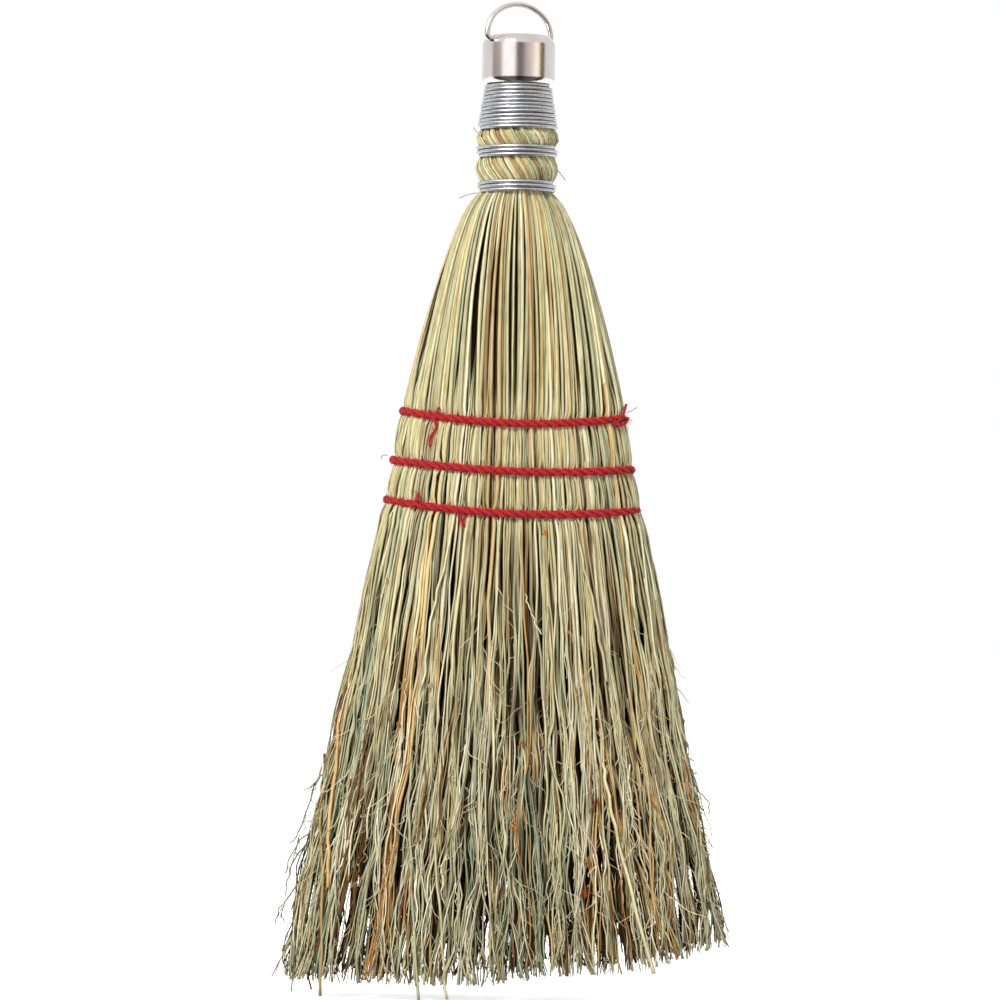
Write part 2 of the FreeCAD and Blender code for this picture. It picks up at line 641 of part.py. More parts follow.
def cap_tack():
    """A round-headed tack driven through the cap's top into the straw."""
    dome = (TACK_HEAD_RADIUS**2 + TACK_HEAD_HEIGHT**2) / (2 * TACK_HEAD_HEIGHT)
    top = V(0, 0, CAP_TOP_Z + TACK_HEAD_HEIGHT)
    slope = math.asin(TACK_HEAD_RADIUS / dome) / 2
    crown = top + V(dome * math.sin(slope), 0, dome * (math.cos(slope) - 1))
    tip = CAP_TOP_Z - TACK_LENGTH
    corners = [
        V(TACK_HEAD_RADIUS, 0, CAP_TOP_Z),
        V(TACK_SHANK_RADIUS, 0, CAP_TOP_Z),
        V(TACK_SHANK_RADIUS, 0, tip + 3 * TACK_SHANK_RADIUS),
        V(0, 0, tip),
        top,
    ]
    edges = [Part.Arc(top, crown, corners[0]).toShape()]
    edges += [Part.LineSegment(p, q).toShape() for p, q in zip(corners, corners[1:])]
    return Part.Face(Part.Wire(edges)).revolve(V(0, 0, 0), V(0, 0, 1), 360)


def ring_half():
    """Edges of the ring's right half, from its pin to its top."""
    base = RING_PIVOT_Z + RING_BEND
    rise = RING_HEIGHT - RING_BEND
    side = V(RING_HALF_SPAN - RING_SIDE_RADIUS, 0, base)
    flatness = rise - RING_SIDE_RADIUS
    drop = (side.x**2 - flatness**2) / (2 * flatness)
    top_centre, top_radius = V(0, 0, base - drop), rise + drop
    out = (side - top_centre).normalize()
    half_turn = math.atan2(out.z, out.x) / 2
    knee = V(RING_HALF_SPAN - RING_BEND, 0, base)
    diagonal = V(1, 0, -1).normalize() * RING_BEND
    pin_end, pin_foot = V(CAP_RADIUS - RING_PIN_REACH, 0, RING_PIVOT_Z), knee - V(0, 0, RING_BEND)
    leg, meet = V(RING_HALF_SPAN, 0, base), side + out * RING_SIDE_RADIUS
    side_middle = side + V(math.cos(half_turn), 0, math.sin(half_turn)) * RING_SIDE_RADIUS
    lean = math.atan2(meet.x, meet.z - top_centre.z) / 2
    top_middle = top_centre + V(math.sin(lean), 0, math.cos(lean)) * top_radius
    return [
        Part.LineSegment(pin_end, pin_foot).toShape(),
        Part.Arc(pin_foot, knee + diagonal, leg).toShape(),
        Part.Arc(leg, side_middle, meet).toShape(),
        Part.Arc(meet, top_middle, V(0, 0, base + rise)).toShape(),
    ]


def hang_ring():
    """A bent wire bail: its ends turn in through the cap's shoulder and are its pivots."""
    right = ring_half()
    left = [edge.mirror(V(0, 0, 0), V(1, 0, 0)) for edge in right]
    path = Part.Wire(Part.__sortEdges__(right + left))
    return turned_with_cap(tube(path, RING_WIRE))


def straw_nodes():
    nodes = {"straw_core": straw_core()}
    nodes["right_edge_bundle"] = straw_bundle(0)
    nodes["left_edge_bundle"] = straw_bundle(FACE_BUNDLES + 1)
    for k in range(1, FACE_BUNDLES + 1):
        nodes[f"front_bundle_{k:02d}"] = straw_bundle(FACE_BUNDLES + 1 + k)
        nodes[f"back_bundle_{k:02d}"] = straw_bundle(FACE_BUNDLES + 1 - k)
    return nodes


def binding_nodes():
    nodes = {"neck_winding_wire": neck_winding("neck_winding_wire")}
    nodes["middle_band_wire"] = band("middle_band_wire", MIDDLE_BAND_Z, MIDDLE_BAND_RADIUS)
    nodes["lower_band_wire"] = band("lower_band_wire", LOWER_BAND_Z, LOWER_BAND_RADIUS)
    for row in ROWS:
        nodes[f"{row}_twine_turns"] = twine_turns(row)
        nodes[f"{row}_twine_stitches"] = twine_stitches(row)
    return nodes


def main():
    os.makedirs("parts", exist_ok=True)
    nodes = {**straw_nodes(), **binding_nodes()}
    nodes["cap"] = cap()
    nodes["cap_tack"] = cap_tack()
    nodes["hang_ring"] = hang_ring()
    for name, shape in nodes.items():
        shape.exportStep(f"parts/{name}.step")
        print(f"{name}: {len(shape.Solids)} solid, valid {shape.isValid()}, {shape.Volume:.0f} mm3")


if __name__ == "__main__":
    main()
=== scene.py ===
import math

import bpy
import numpy as np
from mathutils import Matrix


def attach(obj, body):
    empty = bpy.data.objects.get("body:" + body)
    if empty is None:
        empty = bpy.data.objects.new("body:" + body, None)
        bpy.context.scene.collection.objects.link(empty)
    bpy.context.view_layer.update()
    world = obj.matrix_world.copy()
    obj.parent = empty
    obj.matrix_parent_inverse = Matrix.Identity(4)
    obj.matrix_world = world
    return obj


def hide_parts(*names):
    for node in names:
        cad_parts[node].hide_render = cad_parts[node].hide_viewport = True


# A straw hand broom dressed over its solids: straw drawn stalk by stalk, wound wire, twisted twine.
# Lengths are millimetres in the solids' frame, and become metres when a mesh is made.

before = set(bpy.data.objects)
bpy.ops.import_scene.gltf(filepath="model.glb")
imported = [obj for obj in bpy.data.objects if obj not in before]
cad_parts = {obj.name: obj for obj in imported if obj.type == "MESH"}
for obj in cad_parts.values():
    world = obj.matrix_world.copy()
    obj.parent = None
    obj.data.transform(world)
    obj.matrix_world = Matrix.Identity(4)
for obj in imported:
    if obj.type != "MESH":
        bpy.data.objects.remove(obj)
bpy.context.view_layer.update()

MM = 0.001
SEED = 7803
TINY = 1e-9
SHORT_OF_END = 1.001  # steps before the last point, so that there is always a next one
SCREEN_GAMMA = 2.2


def linear(red, green, blue):
    """A colour as seen on a screen, 0 to 255, in linear light."""
    return tuple((value / 255) ** SCREEN_GAMMA for value in (red, green, blue))


def palette(*colours):
    return np.array([linear(*colour) for colour in colours])


# Binding wire
WIRE_RADIUS = 0.565
WIRE_PITCH = 1.17
WIRE_OUT = 0.6  # from the straw to the middle of the wire
WIRE_STEPS = 60  # points in a turn
WIRE_SIDES = 12
WIRE_START = math.radians(190.0)
WIRE_END = math.radians(350.0)
WIRE_FRONT = math.radians(270.0)
WIRE_TUCK = 1.1  # the ends go under the turns by this much, over the length of a tail
WIRE_TAIL = math.radians(18.0)
WIRE_UNEVEN = 0.07
WIRE_KNOTS = 5  # uneven places in a turn
WINDING_TURNS = 12
BAND_TURNS = 3

# Sewing rows
ROWS = ("upper", "middle", "lower")
ROW_HEIGHT = {"upper": 175.9, "middle": 161.3, "lower": 148.4}
ROW_SAG = {"upper": 3.0, "middle": 2.2, "lower": 3.0}
ROW_DROP = {"upper": 1.4, "middle": 2.0, "lower": 2.3}
ROW_CINCH = 0.9
CINCH_HALF_HEIGHT = 2.4
CINCH_FADE = 4.0  # depth over which the twine's pull fades
EDGE_CINCH = 1.2  # the sewing as a whole draws the narrow edges in by this much
EDGE_CINCH_POWER = 6
SEWN_HALF_HEIGHT = 17.0
PINCH = 0.42  # how far a row of sewing draws each bundle together
PINCH_HALF_HEIGHT = 1.7
PINCH_FADE = 3.0

# Outline of the straw, as in the solids
FACE_BUNDLES = 14
PLACES = 2 * (FACE_BUNDLES + 1)
EDGE_SHARE = 0.86
EDGE_NECK_ANGLE = math.radians(12.0)
TIP_HALF_WIDTH = 69.5
TIP_HALF_DEPTH = 18.5
SEWN_HALF_WIDTH = 35.6
SEWN_HALF_DEPTH = 13.2
FACE_SQUARENESS = 2.7
FLARE_POWER = 0.63
TIP_DRIFT = 0.8
LOWER_BAND = 248.25
MIDDLE_BAND = 258.95
WINDING_FOOT = 266.25
BAND_HALF_HEIGHT = 2 * WIRE_PITCH
FLARE_HEAD = LOWER_BAND - BAND_HALF_HEIGHT
FLARE_FOOT = ROW_HEIGHT["upper"]
LOWER_BAND_RADIUS = 10.9
MIDDLE_BAND_RADIUS = 11.3
WINDING_FOOT_RADIUS = 11.2
WINDING_HEAD_RADIUS = 9.15
CAP_STRAW_RADIUS = 10.3
WINDING_HEAD = 279.8
CAP_STRAW_FOOT = 283.6
CAP_STRAW_HEAD = 292.05
NECK_OUTLINE = (
    (FLARE_HEAD, LOWER_BAND_RADIUS),
    (LOWER_BAND + BAND_HALF_HEIGHT, LOWER_BAND_RADIUS),
    (MIDDLE_BAND - BAND_HALF_HEIGHT, MIDDLE_BAND_RADIUS),
    (MIDDLE_BAND + BAND_HALF_HEIGHT, MIDDLE_BAND_RADIUS),
    (WINDING_FOOT - WIRE_PITCH, WINDING_FOOT_RADIUS),
    (WINDING_HEAD, WINDING_HEAD_RADIUS),
    (CAP_STRAW_FOOT, CAP_STRAW_RADIUS),
    (CAP_STRAW_HEAD, CAP_STRAW_RADIUS),
)
NECK_HEIGHTS, NECK_RADII = zip(*NECK_OUTLINE)
NECK_GAPS = ((250.0, 257.2), (260.7, 265.6))  # where the straw bulges between the wires
NECK_BULGE = 1.35
NECK_TWIST = math.radians(-56.0)

# Trim line of the tips
TRIM_FOOT = 5.0
TRIM_RISE = 11.0
TRIM_RISE_FROM = 19.0
TRIM_STEP = 3.4  # the right half is cut this much shorter
TRIM_STEP_FROM = -8.0
TRIM_STEP_WIDTH = 22.0
TRIM_UNEVEN = 1.6
SHORT_SHARE = 0.25  # of the straws that end well above the trim line
SHORT_BY = (5.0, 55.0)
LONG_SHARE = 0.004
LONG_TIP = (0.2, 3.5)
TIP_LIMITS = (0.2, 110.0)

# How straws stand and bend
CLUMPS = 16  # pointed tufts across a face at the tips
CLUMP_PULL = (0.62, 0.94)
CLUMP_TOP = 88.0
CLUMP_POWER = 1.2
CLUMP_SCATTER = 0.3
CLUMP_BEAT = 7.3  # tufts stand unevenly and are drawn unevenly, by sines of their number
PULL_BEAT = 4.1
EDGE_PARTS = 5  # an edge is drawn together in this many small bundles
PLACE_JITTER = 0.3  # how unevenly straws stand side by side
FOOT_INSET = 1.0
FLARE_DRIFT = 0.16
FLARE_BOW = 0.12
DEEPEST = 0.97  # share of the half depth
GIRTH_POWER = (0.35, 1.1)
STRAY = 4.5  # straws may stand this far out of the outline
WAVE_LENGTH = (38.0, 95.0)
WAVE_SHARE = (0.3, 1.2)
WAVE_POWER = 1.4
WAVE_LEAST = 0.1
KINK_POWER = 1.2
KINK_LEAST = 0.04
HOOK_LENGTH = 26.0
DEPTH_DAMP = 0.6  # straws bend less in depth than across

# Kinds of straw
SEWN_FOOT = 140.0
LOWER_LEVELS = 30  # points of a straw below the sewing
# "stretches" are heights and the points down to each, "neck" and "sewn" are depths below the
# outer face, "heights" and "girth" are the thickness along a straw
STALK = {
    "stretches": ((245.0, 24), (225.0, 10), (190.0, 9), (SEWN_FOOT, 28)),
    "sides": 8,
    "top": (284.0, 289.0),
    "radius": (0.45, 0.76),
    "tip": 0.0,
    "neck": (0.2, 1.2),
    "sewn": (0.4, 1.5),
    "drift": 0.42,
    "wave": 1.4,
    "kink": 0.7,
    "knots": 45,
    "bend": 0.9,
    "heights": (0, 40, 90, 130, 165, 200, 245, 290),
    "girth": (0.3, 0.36, 0.54, 0.82, 1.0, 0.9, 0.56, 0.5),
}
HIDDEN_STALK = {**STALK, "neck": (1.4, 2.6), "sewn": (2.1, 4.2)}
THIN_STRAW = {
    **STALK,
    "sides": 6,
    "radius": (0.26, 0.46),
    "tip": 1.5,
    "neck": (0.3, 1.2),
    "sewn": (0.3, 1.6),
    "drift": 0.6,
    "wave": 1.8,
    "kink": 0.9,
    "bend": 1.2,
    "heights": (0, 60, 140, 230, 290),
    "girth": (0.6, 0.8, 1.0, 0.95, 0.85),
}
SHORT_STRAW = {
    **THIN_STRAW,
    "stretches": ((190.0, 4), (SEWN_FOOT, 26)),
    "top": (192.0, 214.0),
    "neck": (9.0, 14.0),
    "sewn": (0.2, 1.7),
    "knots": 26,
}
CORE_STALK = {
    **STALK,
    "stretches": ((245.0, 4), (190.0, 4), (SEWN_FOOT, 6)),
    "sides": 5,
    "radius": (0.5, 0.9),
    "tip": 24.0,
    "neck": (3.0, 9.5),
    "sewn": (4.5, 12.4),
    "drift": 0.5,
    "wave": 2.2,
    "knots": 24,
}
BRANCH = {
    "levels": 26,
    "sides": 5,
    "start": (62.0, 138.0),
    "least": 12.0,
    "radius": (0.15, 0.38),
    "taper": 0.72,
    "spread": (0.4, 3.0),
    "spread_power": 1.1,
    "spread_depth": 0.7,
    "tip": 2.2,
    "wave": 0.9,
    "kink": 0.75,
    "knots": 14,
    "bend": 1.0,
}
CORE_BRANCH = {**BRANCH, "levels": 20, "sides": 3, "tip": 10.0, "spread": (0.6, 4.0)}
TWIG = {
    "levels": 14,
    "sides": 3,
    "margin": 2,  # none grow on a branch's first and last points
    "radius": (0.12, 0.19),
    "taper": 0.6,
    "length": (2.5, 10.0),
    "least": 2.0,
    "lowest": 0.3,
    "aside": (1.0, 0.6, 0.15),
    "angle": (3.0, 24.0),
    "curl": (0.4, 0.24, 0.04),
    "wave": 1.1,
    "wave_share": (0.2, 1.0),
    "wave_turn": (4.0, 15.0),
    "wave_depth": 0.6,
    "wave_rise": 0.3,
}
# Straws of each kind, and branches on them, for each bundle of a face
FACE_STRAWS = ((STALK, 3.5, 20), (HIDDEN_STALK, 2.5, 7), (THIN_STRAW, 2.5, 4), (SHORT_STRAW, 7.5, 7))
EDGE_FILL = 5.0  # an edge has the straw of this many bundles
CORE_STALKS = 300
CORE_BRANCHES = 500
TWIGS_PER_BRANCH = 2.3

# Gaps between the tufts
PARTING_FOOT = 2.0
PARTING_HOLD = (0.3, 1.25)  # how well straws keep out of the gaps
# Places at foot and top as shares of the half width, half width of the gap, height of its top
PARTINGS = (
    (-0.91, -0.96, 1.3, 56.0),
    (-0.79, -0.75, 1.2, 38.0),
    (-0.66, -0.64, 1.1, 34.0),
    (-0.565, -0.58, 0.7, 21.0),
    (-0.48, -0.46, 0.9, 24.0),
    (-0.29, -0.27, 0.9, 27.0),
    (-0.1, -0.08, 0.8, 30.0),
    (0.05, 0.04, 0.7, 22.0),
    (0.2, 0.18, 1.1, 29.0),
    (0.36, 0.35, 0.9, 23.0),
    (0.42, 0.4, 1.0, 32.0),
    (0.54, 0.52, 1.1, 26.0),
    (0.615, 0.6, 0.6, 30.0),
    (0.79, 0.84, 1.3, 50.0),
    (0.87, 0.92, 1.4, 58.0),
    (0.95, 0.975, 1.0, 40.0),
)

# Straw colours, and the share of the straws that have each
UPPER_COLOURS = palette(
    (205, 197, 150),
    (229, 222, 185),
    (187, 188, 148),
    (170, 181, 148),
    (181, 164, 111),
    (209, 183, 129),
    (203, 163, 102),
    (150, 124, 80),
)
LOWER_COLOURS = palette(
    (209, 200, 158),
    (236, 227, 193),
    (184, 186, 149),
    (160, 170, 140),
    (170, 147, 98),
    (214, 174, 116),
    (196, 140, 76),
    (120, 84, 46),
)
UPPER_SHARES = (0.44, 0.22, 0.12, 0.04, 0.07, 0.08, 0.02, 0.01)
LOWER_SHARES = (0.25, 0.20, 0.19, 0.09, 0.09, 0.07, 0.04, 0.07)
CORE_SHARES = (0.10, 0.02, 0.08, 0.05, 0.24, 0.16, 0.13, 0.22)
# Dark brown that deep straw is mixed towards: painted shade
PAINTED_SHADE_BROWN = np.array(linear(60, 41, 15))
HAIR_COLOUR = np.array(linear(148, 142, 120))
KIN_SHARE = 0.7  # of the branches and shoots that have their own straw's colour
TURN_RATE = 1.6  # how soon a straw turns from its upper to its lower colour
TURN_START = (-0.5, 0.3)
STRAW_LIGHT = (0.74, 1.13)
PATCHES = 8  # lighter and darker stretches along a straw
PATCH_CONTRAST = 0.07
TWIG_LIGHT = 1.12

# Painted shade among the straws: colour goes darker with depth below the outer face and on sides that face
# in
FLANK_FACING = (-1.0, 0.0, 0.5, 0.85, 1.0)  # straws are dark where they face in or to each other
# Painted flank shade: how much of its colour a side keeps, by the way it faces
PAINTED_FLANK_SHADE = (0.05, 0.18, 0.66, 1.0, 1.1)
SHADE_START = 0.6  # straws get dark from this depth below the outer face
LEAST_SHOWN = 0.06
FACE_SHADE = 0.62  # how much darker for each millimetre: straw of the faces and edges
TWIG_SHADE = 0.6 * FACE_SHADE
CORE_SHADE = 0.09
# The painted depth shade is stronger in the open brush, and weaker where light gets in among the tips or
# the sewing lays straws flat
SHADE_HEIGHTS = (0.0, 16.0, 40.0, 115.0, 140.0, 150.0, 176.0, 190.0)
SHADE_SHARES = (0.2, 0.6, 2.0, 2.0, 1.3, 0.22, 0.22, 1.05)

# Straws that lie across the front face: radius, number of the lower colour, places across and heights
LYING_STRAWS = (
    (0.6, 0, ((28.4, 76.0), (29.4, 69.8), (33.3, 51.4), (38.9, 33.0), (45.4, 9.8))),
    (0.45, 2, ((-29.0, 84.0), (-29.6, 66.7), (-29.4, 51.4), (-27.8, 28.8), (-25.8, 0.6))),
    (0.5, 4, ((-55.6, 74.0), (-56.4, 59.0), (-55.3, 31.2), (-55.5, 1.2))),
    (0.45, 0, ((-22.0, 60.0), (-21.3, 45.0), (-19.1, 20.8), (-17.5, 1.2))),
    (0.4, 0, ((-16.6, 147.0), (-20.4, 131.0), (-24.0, 115.4), (-25.6, 96.0))),
    (0.5, 0, ((18.5, 147.6), (22.4, 132.0), (26.0, 118.0), (29.8, 98.0))),
    (0.26, 0, ((3.6, 126.0), (6.4, 118.6), (9.6, 112.0))),
    (0.6, 5, ((-50.2, 96.0), (-52.0, 74.0), (-53.4, 52.0), (-54.0, 34.0))),
)
LYING_LIFT = 0.6
LYING_TUCK = 3.0  # the top of each goes under the others by this much, over a share of its length
LYING_TUCK_SHARE = 0.25
LYING_TAPER = (0.9, 1.0)
LYING_KNOTS = 16
LYING_KINK = 0.25
LINE_LEVELS = 40
LINE_SMOOTHINGS = 6
ACROSS_MOST = 0.999

# Husks: place across, height, size and colour
ORANGE_HUSK = linear(190, 124, 58)
BROWN_HUSK = linear(146, 82, 38)
PALE_HUSK = linear(206, 188, 140)
HUSKS = (
    (10.4, 143.6, 2.2, ORANGE_HUSK),
    (2.4, 55.6, 3.8, ORANGE_HUSK),
    (26.6, 62.4, 3.8, BROWN_HUSK),
    (25.0, 44.0, 2.6, ORANGE_HUSK),
    (24.4, 35.4, 3.2, BROWN_HUSK),
    (49.0, 46.6, 3.6, PALE_HUSK),
    (4.4, 79.4, 2.2, BROWN_HUSK),
    (-33.0, 84.2, 2.6, ORANGE_HUSK),
    (-23.6, 96.6, 2.4, PALE_HUSK),
    (-37.2, 128.2, 2.6, PALE_HUSK),
)
FLAKE = {
    "number": 7,
    "levels": 9,
    "sides": 6,
    "lift": 0.3,
    "scatter": 0.14,
    "fan": 0.7,
    "lean": 0.3,
    "tilt": (-0.3, 0.1),
    "length": (0.55, 1.0),
    "closing": 1.2,
    "curl": 0.2,
    "girth": 0.07,
    "ends": (0.08, 0.96),
    "fullness": 0.8,
    "light": (0.45, 1.3),
    "shade": (0.8, 1.1),
}

# Stray wisps and hairs, by places across and heights
EDGE_WISPS = (
    ((-56.6, 70.0), (-60.4, 58.0), (-64.0, 48.6), (-66.2, 46.2)),
    ((-58.0, 52.0), (-63.2, 47.2), (-66.0, 42.0), (-67.4, 37.2)),
    ((-60.6, 47.0), (-65.0, 40.6), (-66.6, 35.0), (-67.2, 30.2)),
    ((-62.8, 36.0), (-66.8, 29.0), (-69.4, 26.0), (-69.9, 22.0)),
    ((-56.4, 67.6), (-59.0, 64.8), (-61.6, 62.8)),
    ((53.8, 74.0), (57.6, 65.6), (61.4, 61.8), (61.8, 57.4)),
    ((54.6, 70.0), (57.0, 62.6), (60.2, 58.2)),
    ((58.0, 48.0), (62.4, 41.0), (63.4, 34.0), (65.4, 29.0), (66.6, 22.6), (68.8, 16.6)),
    ((61.6, 30.0), (65.6, 23.6), (67.4, 20.0), (68.2, 17.6)),
    ((53.6, 73.4), (55.4, 71.6), (57.0, 69.8)),
)
WISP_RADIUS = 0.25
WISP_TAPER = (1.2, 0.8)
WISP_LEVELS = 24
WISP_DEPTH = 3.0  # they lie within this of the middle of the edge
WISP_KNOTS = 12
WISP_KINK = 0.3
WISP_HAIRS = 3
NECK_HAIRS = (
    ((-11.2, 246.4), (-14.6, 246.2), (-17.6, 244.6)),
    ((11.8, 254.6), (13.2, 252.8), (14.9, 250.6)),
    ((-11.6, 264.6), (-12.9, 265.0), (-13.4, 266.4)),
    ((34.8, 179.8), (36.4, 180.4), (38.0, 181.6)),
    ((-38.2, 165.6), (-40.2, 166.0), (-40.0, 164.4)),
)
HAIR_RADIUS = 0.13
HAIR_LEVELS = 10
HAIR_SIDES = 5

# Sewing twine
LOOP_STEPS = 7200
TWINE_LEVELS = 420
TWINE_TWISTS = 17 + 1 / 3  # the strands of a row wind about each other this often in one turn
TWINE_RADIUS = 0.66
TWINE_SWING = 0.68
TWINE_OUT = -0.1  # on the broad faces
EDGE_DRAW = {"upper": 2.0, "middle": 2.0, "lower": 2.7}  # how far a row lies inside the narrow edges
STRANDS = (("turns", 2, 0.0), ("stitches", 1, 2 / 3))  # turns round the brush, and where each starts
TWINE_TAILS = {
    "upper": (
        ((-22.4, 180.4), (-23.8, 177.4), (-23.0, 174.2), (-25.0, 171.4), (-25.2, 168.4)),
        ((30.5, 176.0), (33.4, 178.0), (34.6, 182.4)),
        ((31.5, 175.4), (34.4, 176.4), (35.4, 178.4)),
    ),
    "middle": (),
    "lower": (((-29.8, 150.2), (-28.1, 154.4), (-28.9, 150.6)), ((-15.7, 147.8), (-14.3, 144.4))),
}
TAIL_RADIUS = 0.42
TAIL_LIFT = 0.3
PLIES = 3
PLY_LENGTH = 3.4
PLY_SIDES = 6
PLY_OFFSET = 0.5  # shares of the twine's radius
PLY_GIRTH = 0.56
PLY_UNEVEN = 0.06
PLY_DARK = 0.5
FLUFF_RADIUS = 0.055
FLUFF_LEVELS = 6
FLUFF_SIDES = 3
FLUFF_CURL = 0.7
FLUFF_SHARE = (0.3, 1.0)
ROW_FLUFF = (150, 1.2)  # fibres and their longest reach
TAIL_FLUFF = (50, 1.7)
STITCH_RADIUS = 0.6
STITCH_END = 1.2  # how far below the outline a stitch leaves the rows' strands
STITCH_LEVELS = 30
STITCH_SIDES = 8
RED = np.array(linear(216, 30, 42))
DARK_RED = np.array(linear(160, 18, 26))
PALE_RED = np.array(linear(224, 92, 92))

# Directions that the tubes of each sort run across
UP = (0.0, 0.0, 1.0)
STRAW_UP = (0.2, 1.0, 0.0)
PLY_UP = (0.31, 0.2, 0.93)

# Bake map, where each tube has a strip of its own
STRAW_STRIP_ROWS = 3
STRIP_MARGIN_U = 0.08
STRIP_MARGIN_V = 0.02

# Metal: name, colour, least and most roughness, strength of the grain
DIM_NICKEL = 0.9  # share of the colour in wiped patches
METALS = {
    "cap": ("cap_nickel", (0.67, 0.63, 0.62), 0.08, 0.15, 0.6),
    "hang_ring": ("ring_nickel", (0.68, 0.65, 0.64), 0.26, 0.36, 0.2),
    "cap_tack": ("tack_steel", (0.45, 0.44, 0.44), 0.22, 0.4, 0.25),
}

# Camera and light, in metres
FRAME_HEIGHT = 0.306
CAMERA_DISTANCE = 1.6
CAMERA_X = -0.0035
CAMERA_Z = 0.1525
CAMERA_ROLL = math.radians(-0.95)
SENSOR = 36.0  # millimetres
# Name, place, size, watts, colour and whether metal mirrors it
LAMPS = (
    ("key", (-0.85, -1.35, 1.55), 0.5, 54.0, (1.0, 0.985, 0.96), True),
    ("fill", (1.3, -1.2, 0.5), 0.9, 4.5, (0.97, 0.98, 1.0), False),
    ("back", (0.5, 1.6, 1.2), 0.9, 16.0, (0.98, 0.99, 1.0), False),
)
WHITE = (1.0, 1.0, 1.0, 1.0)
SOFT_COLOUR = (0.95, 0.97, 1.0, 1.0)
SOFT_STRENGTH = 0.30
FLOOR_HALF_WIDTH = 6.0
FLOOR_COLOUR = (0.9, 0.9, 0.9, 1.0)
FLOOR_ROUGHNESS = 0.9
FLOOR_LIFT = 0.74

# Studio wall that metal mirrors, from the left round the front to the right
BROWN_WALL = (0.46, 0.40, 0.36)
DARK_WALL = (0.26, 0.22, 0.20)
TAN_WALL = (0.62, 0.57, 0.53)
GREY_WALL = (0.66, 0.60, 0.58)
PALE_WALL = (1.06, 0.97, 0.94)
OLIVE_WALL = (0.24, 0.19, 0.09)
WHITE_PANEL = (1.55, 1.55, 1.55)
CREAM_PANEL = (1.55, 1.42, 1.14)
REFLECTOR_STOPS = (
    (0.0, BROWN_WALL),
    (0.13, TAN_WALL),
    (0.18, GREY_WALL),
    (0.22, WHITE_PANEL),
    (0.43, WHITE_PANEL),
    (0.47, DARK_WALL),
    (0.57, DARK_WALL),
    (0.62, GREY_WALL),
    (0.74, PALE_WALL),
    (0.80, CREAM_PANEL),
    (0.87, CREAM_PANEL),
    (0.91, OLIVE_WALL),
    (1.0, OLIVE_WALL),
)
REFLECTOR_RADIUS = 2.2
REFLECTOR_TOP = 1.15
REFLECTOR_STEPS = 60
APRON_RADIUS = 0.05
APRON_HEIGHT = 0.004
APRON_LIGHT = 0.12


def mix(start, end, share):
    return start + (end - start) * share


def unit(vectors):
    return vectors / np.maximum(np.linalg.norm(vectors, axis=-1, keepdims=True), TINY)


def signed_power(value, power):
    return np.sign(value) * np.abs(value) ** power


def bell(distance, half_width):
    return np.exp(-((distance / half_width) ** 2))


def flare_share(z):
    depth = (FLARE_HEAD - z) / (FLARE_HEAD - FLARE_FOOT)
    return np.clip(depth, 0, 1) ** FLARE_POWER


def fall_share(z):
    """0 at the upper row of sewing and above, 1 at the floor."""
    return np.clip(1 - z / FLARE_FOOT, 0, 1)


def squareness(z):
    """Power of the section's outline: an ellipse's at the neck, more where the straw is sewn flat."""
    return mix(2.0, FACE_SQUARENESS, flare_share(z))


def half_sizes(z):
    share, fall = flare_share(z), fall_share(z)
    neck = np.interp(z, NECK_HEIGHTS, NECK_RADII)
    for low, high in NECK_GAPS:
        neck = neck + NECK_BULGE * np.sin(math.pi * np.clip((z - low) / (high - low), 0, 1))
    wide = mix(LOWER_BAND_RADIUS, SEWN_HALF_WIDTH, share) + (TIP_HALF_WIDTH - SEWN_HALF_WIDTH) * fall
    deep = mix(LOWER_BAND_RADIUS, SEWN_HALF_DEPTH, share) + (TIP_HALF_DEPTH - SEWN_HALF_DEPTH) * fall
    above = z >= FLARE_HEAD
    return np.where(above, neck, wide), np.where(above, neck, deep)


def middle_x(z):
    return TIP_DRIFT * fall_share(z)


def share_across(x, z):
    """-1 at the left edge of the straw, 1 at its right edge."""
    return (x - middle_x(z)) / half_sizes(z)[0]


def outline_angle(place, z):
    """Angle round the section of a place, which counts bundles from the right edge."""
    half, k = np.divmod(np.mod(place, PLACES), FACE_BUNDLES + 1)
    share = np.clip(k, 0, FACE_BUNDLES) / FACE_BUNDLES
    beyond = np.clip(k - FACE_BUNDLES, 0, 1)
    neck = mix(EDGE_NECK_ANGLE, math.pi - EDGE_NECK_ANGLE, share) + 2 * EDGE_NECK_ANGLE * beyond
    sewn = np.arccos(signed_power(EDGE_SHARE * (1 - 2 * share), FACE_SQUARENESS / 2))
    sewn = sewn + 2 * (math.pi - sewn) * beyond
    turn = np.clip((z - LOWER_BAND) / (WINDING_FOOT - LOWER_BAND), 0, 1)
    return mix(neck, sewn, flare_share(z)) + math.pi * half + NECK_TWIST * turn


def outline(place, z, inset):
    """Point of the straw at a place, a height and a depth below the outer face."""
    angle = outline_angle(place, z)
    wide, deep = half_sizes(z)
    power = 2 / squareness(z)
    x = (wide - inset) * signed_power(np.cos(angle), power) + middle_x(z)
    y = np.maximum(deep - inset, 0) * signed_power(np.sin(angle), power)
    return np.stack([x, y, z + 0 * x], -1)


def row_height(row, x):
    z = ROW_HEIGHT[row]
    across = share_across(x, z)
    return z + ROW_SAG[row] * across**2 - ROW_DROP[row] / 2 * across


def cinch(x, z):
    """How far the twine draws the straw in."""
    total = EDGE_CINCH * share_across(x, z) ** EDGE_CINCH_POWER
    total *= bell(z - ROW_HEIGHT["middle"], SEWN_HALF_HEIGHT)
    for row in ROWS:
        total += ROW_CINCH * bell(z - row_height(row, x), CINCH_HALF_HEIGHT)
    return total


def pinch(x, z):
    """How far the sewing draws a place to the middle of its small bundle."""
    total = 0 * z
    for row in ROWS:
        total += bell(z - row_height(row, x), PINCH_HALF_HEIGHT)
    return PINCH * total


def bundle_centre(place):
    """Middle of the small bundle that the sewing draws a place into."""
    parts = np.where(np.mod(place, FACE_BUNDLES + 1) > FACE_BUNDLES, EDGE_PARTS, 1)
    return (np.floor(place * parts) + 0.5) / parts


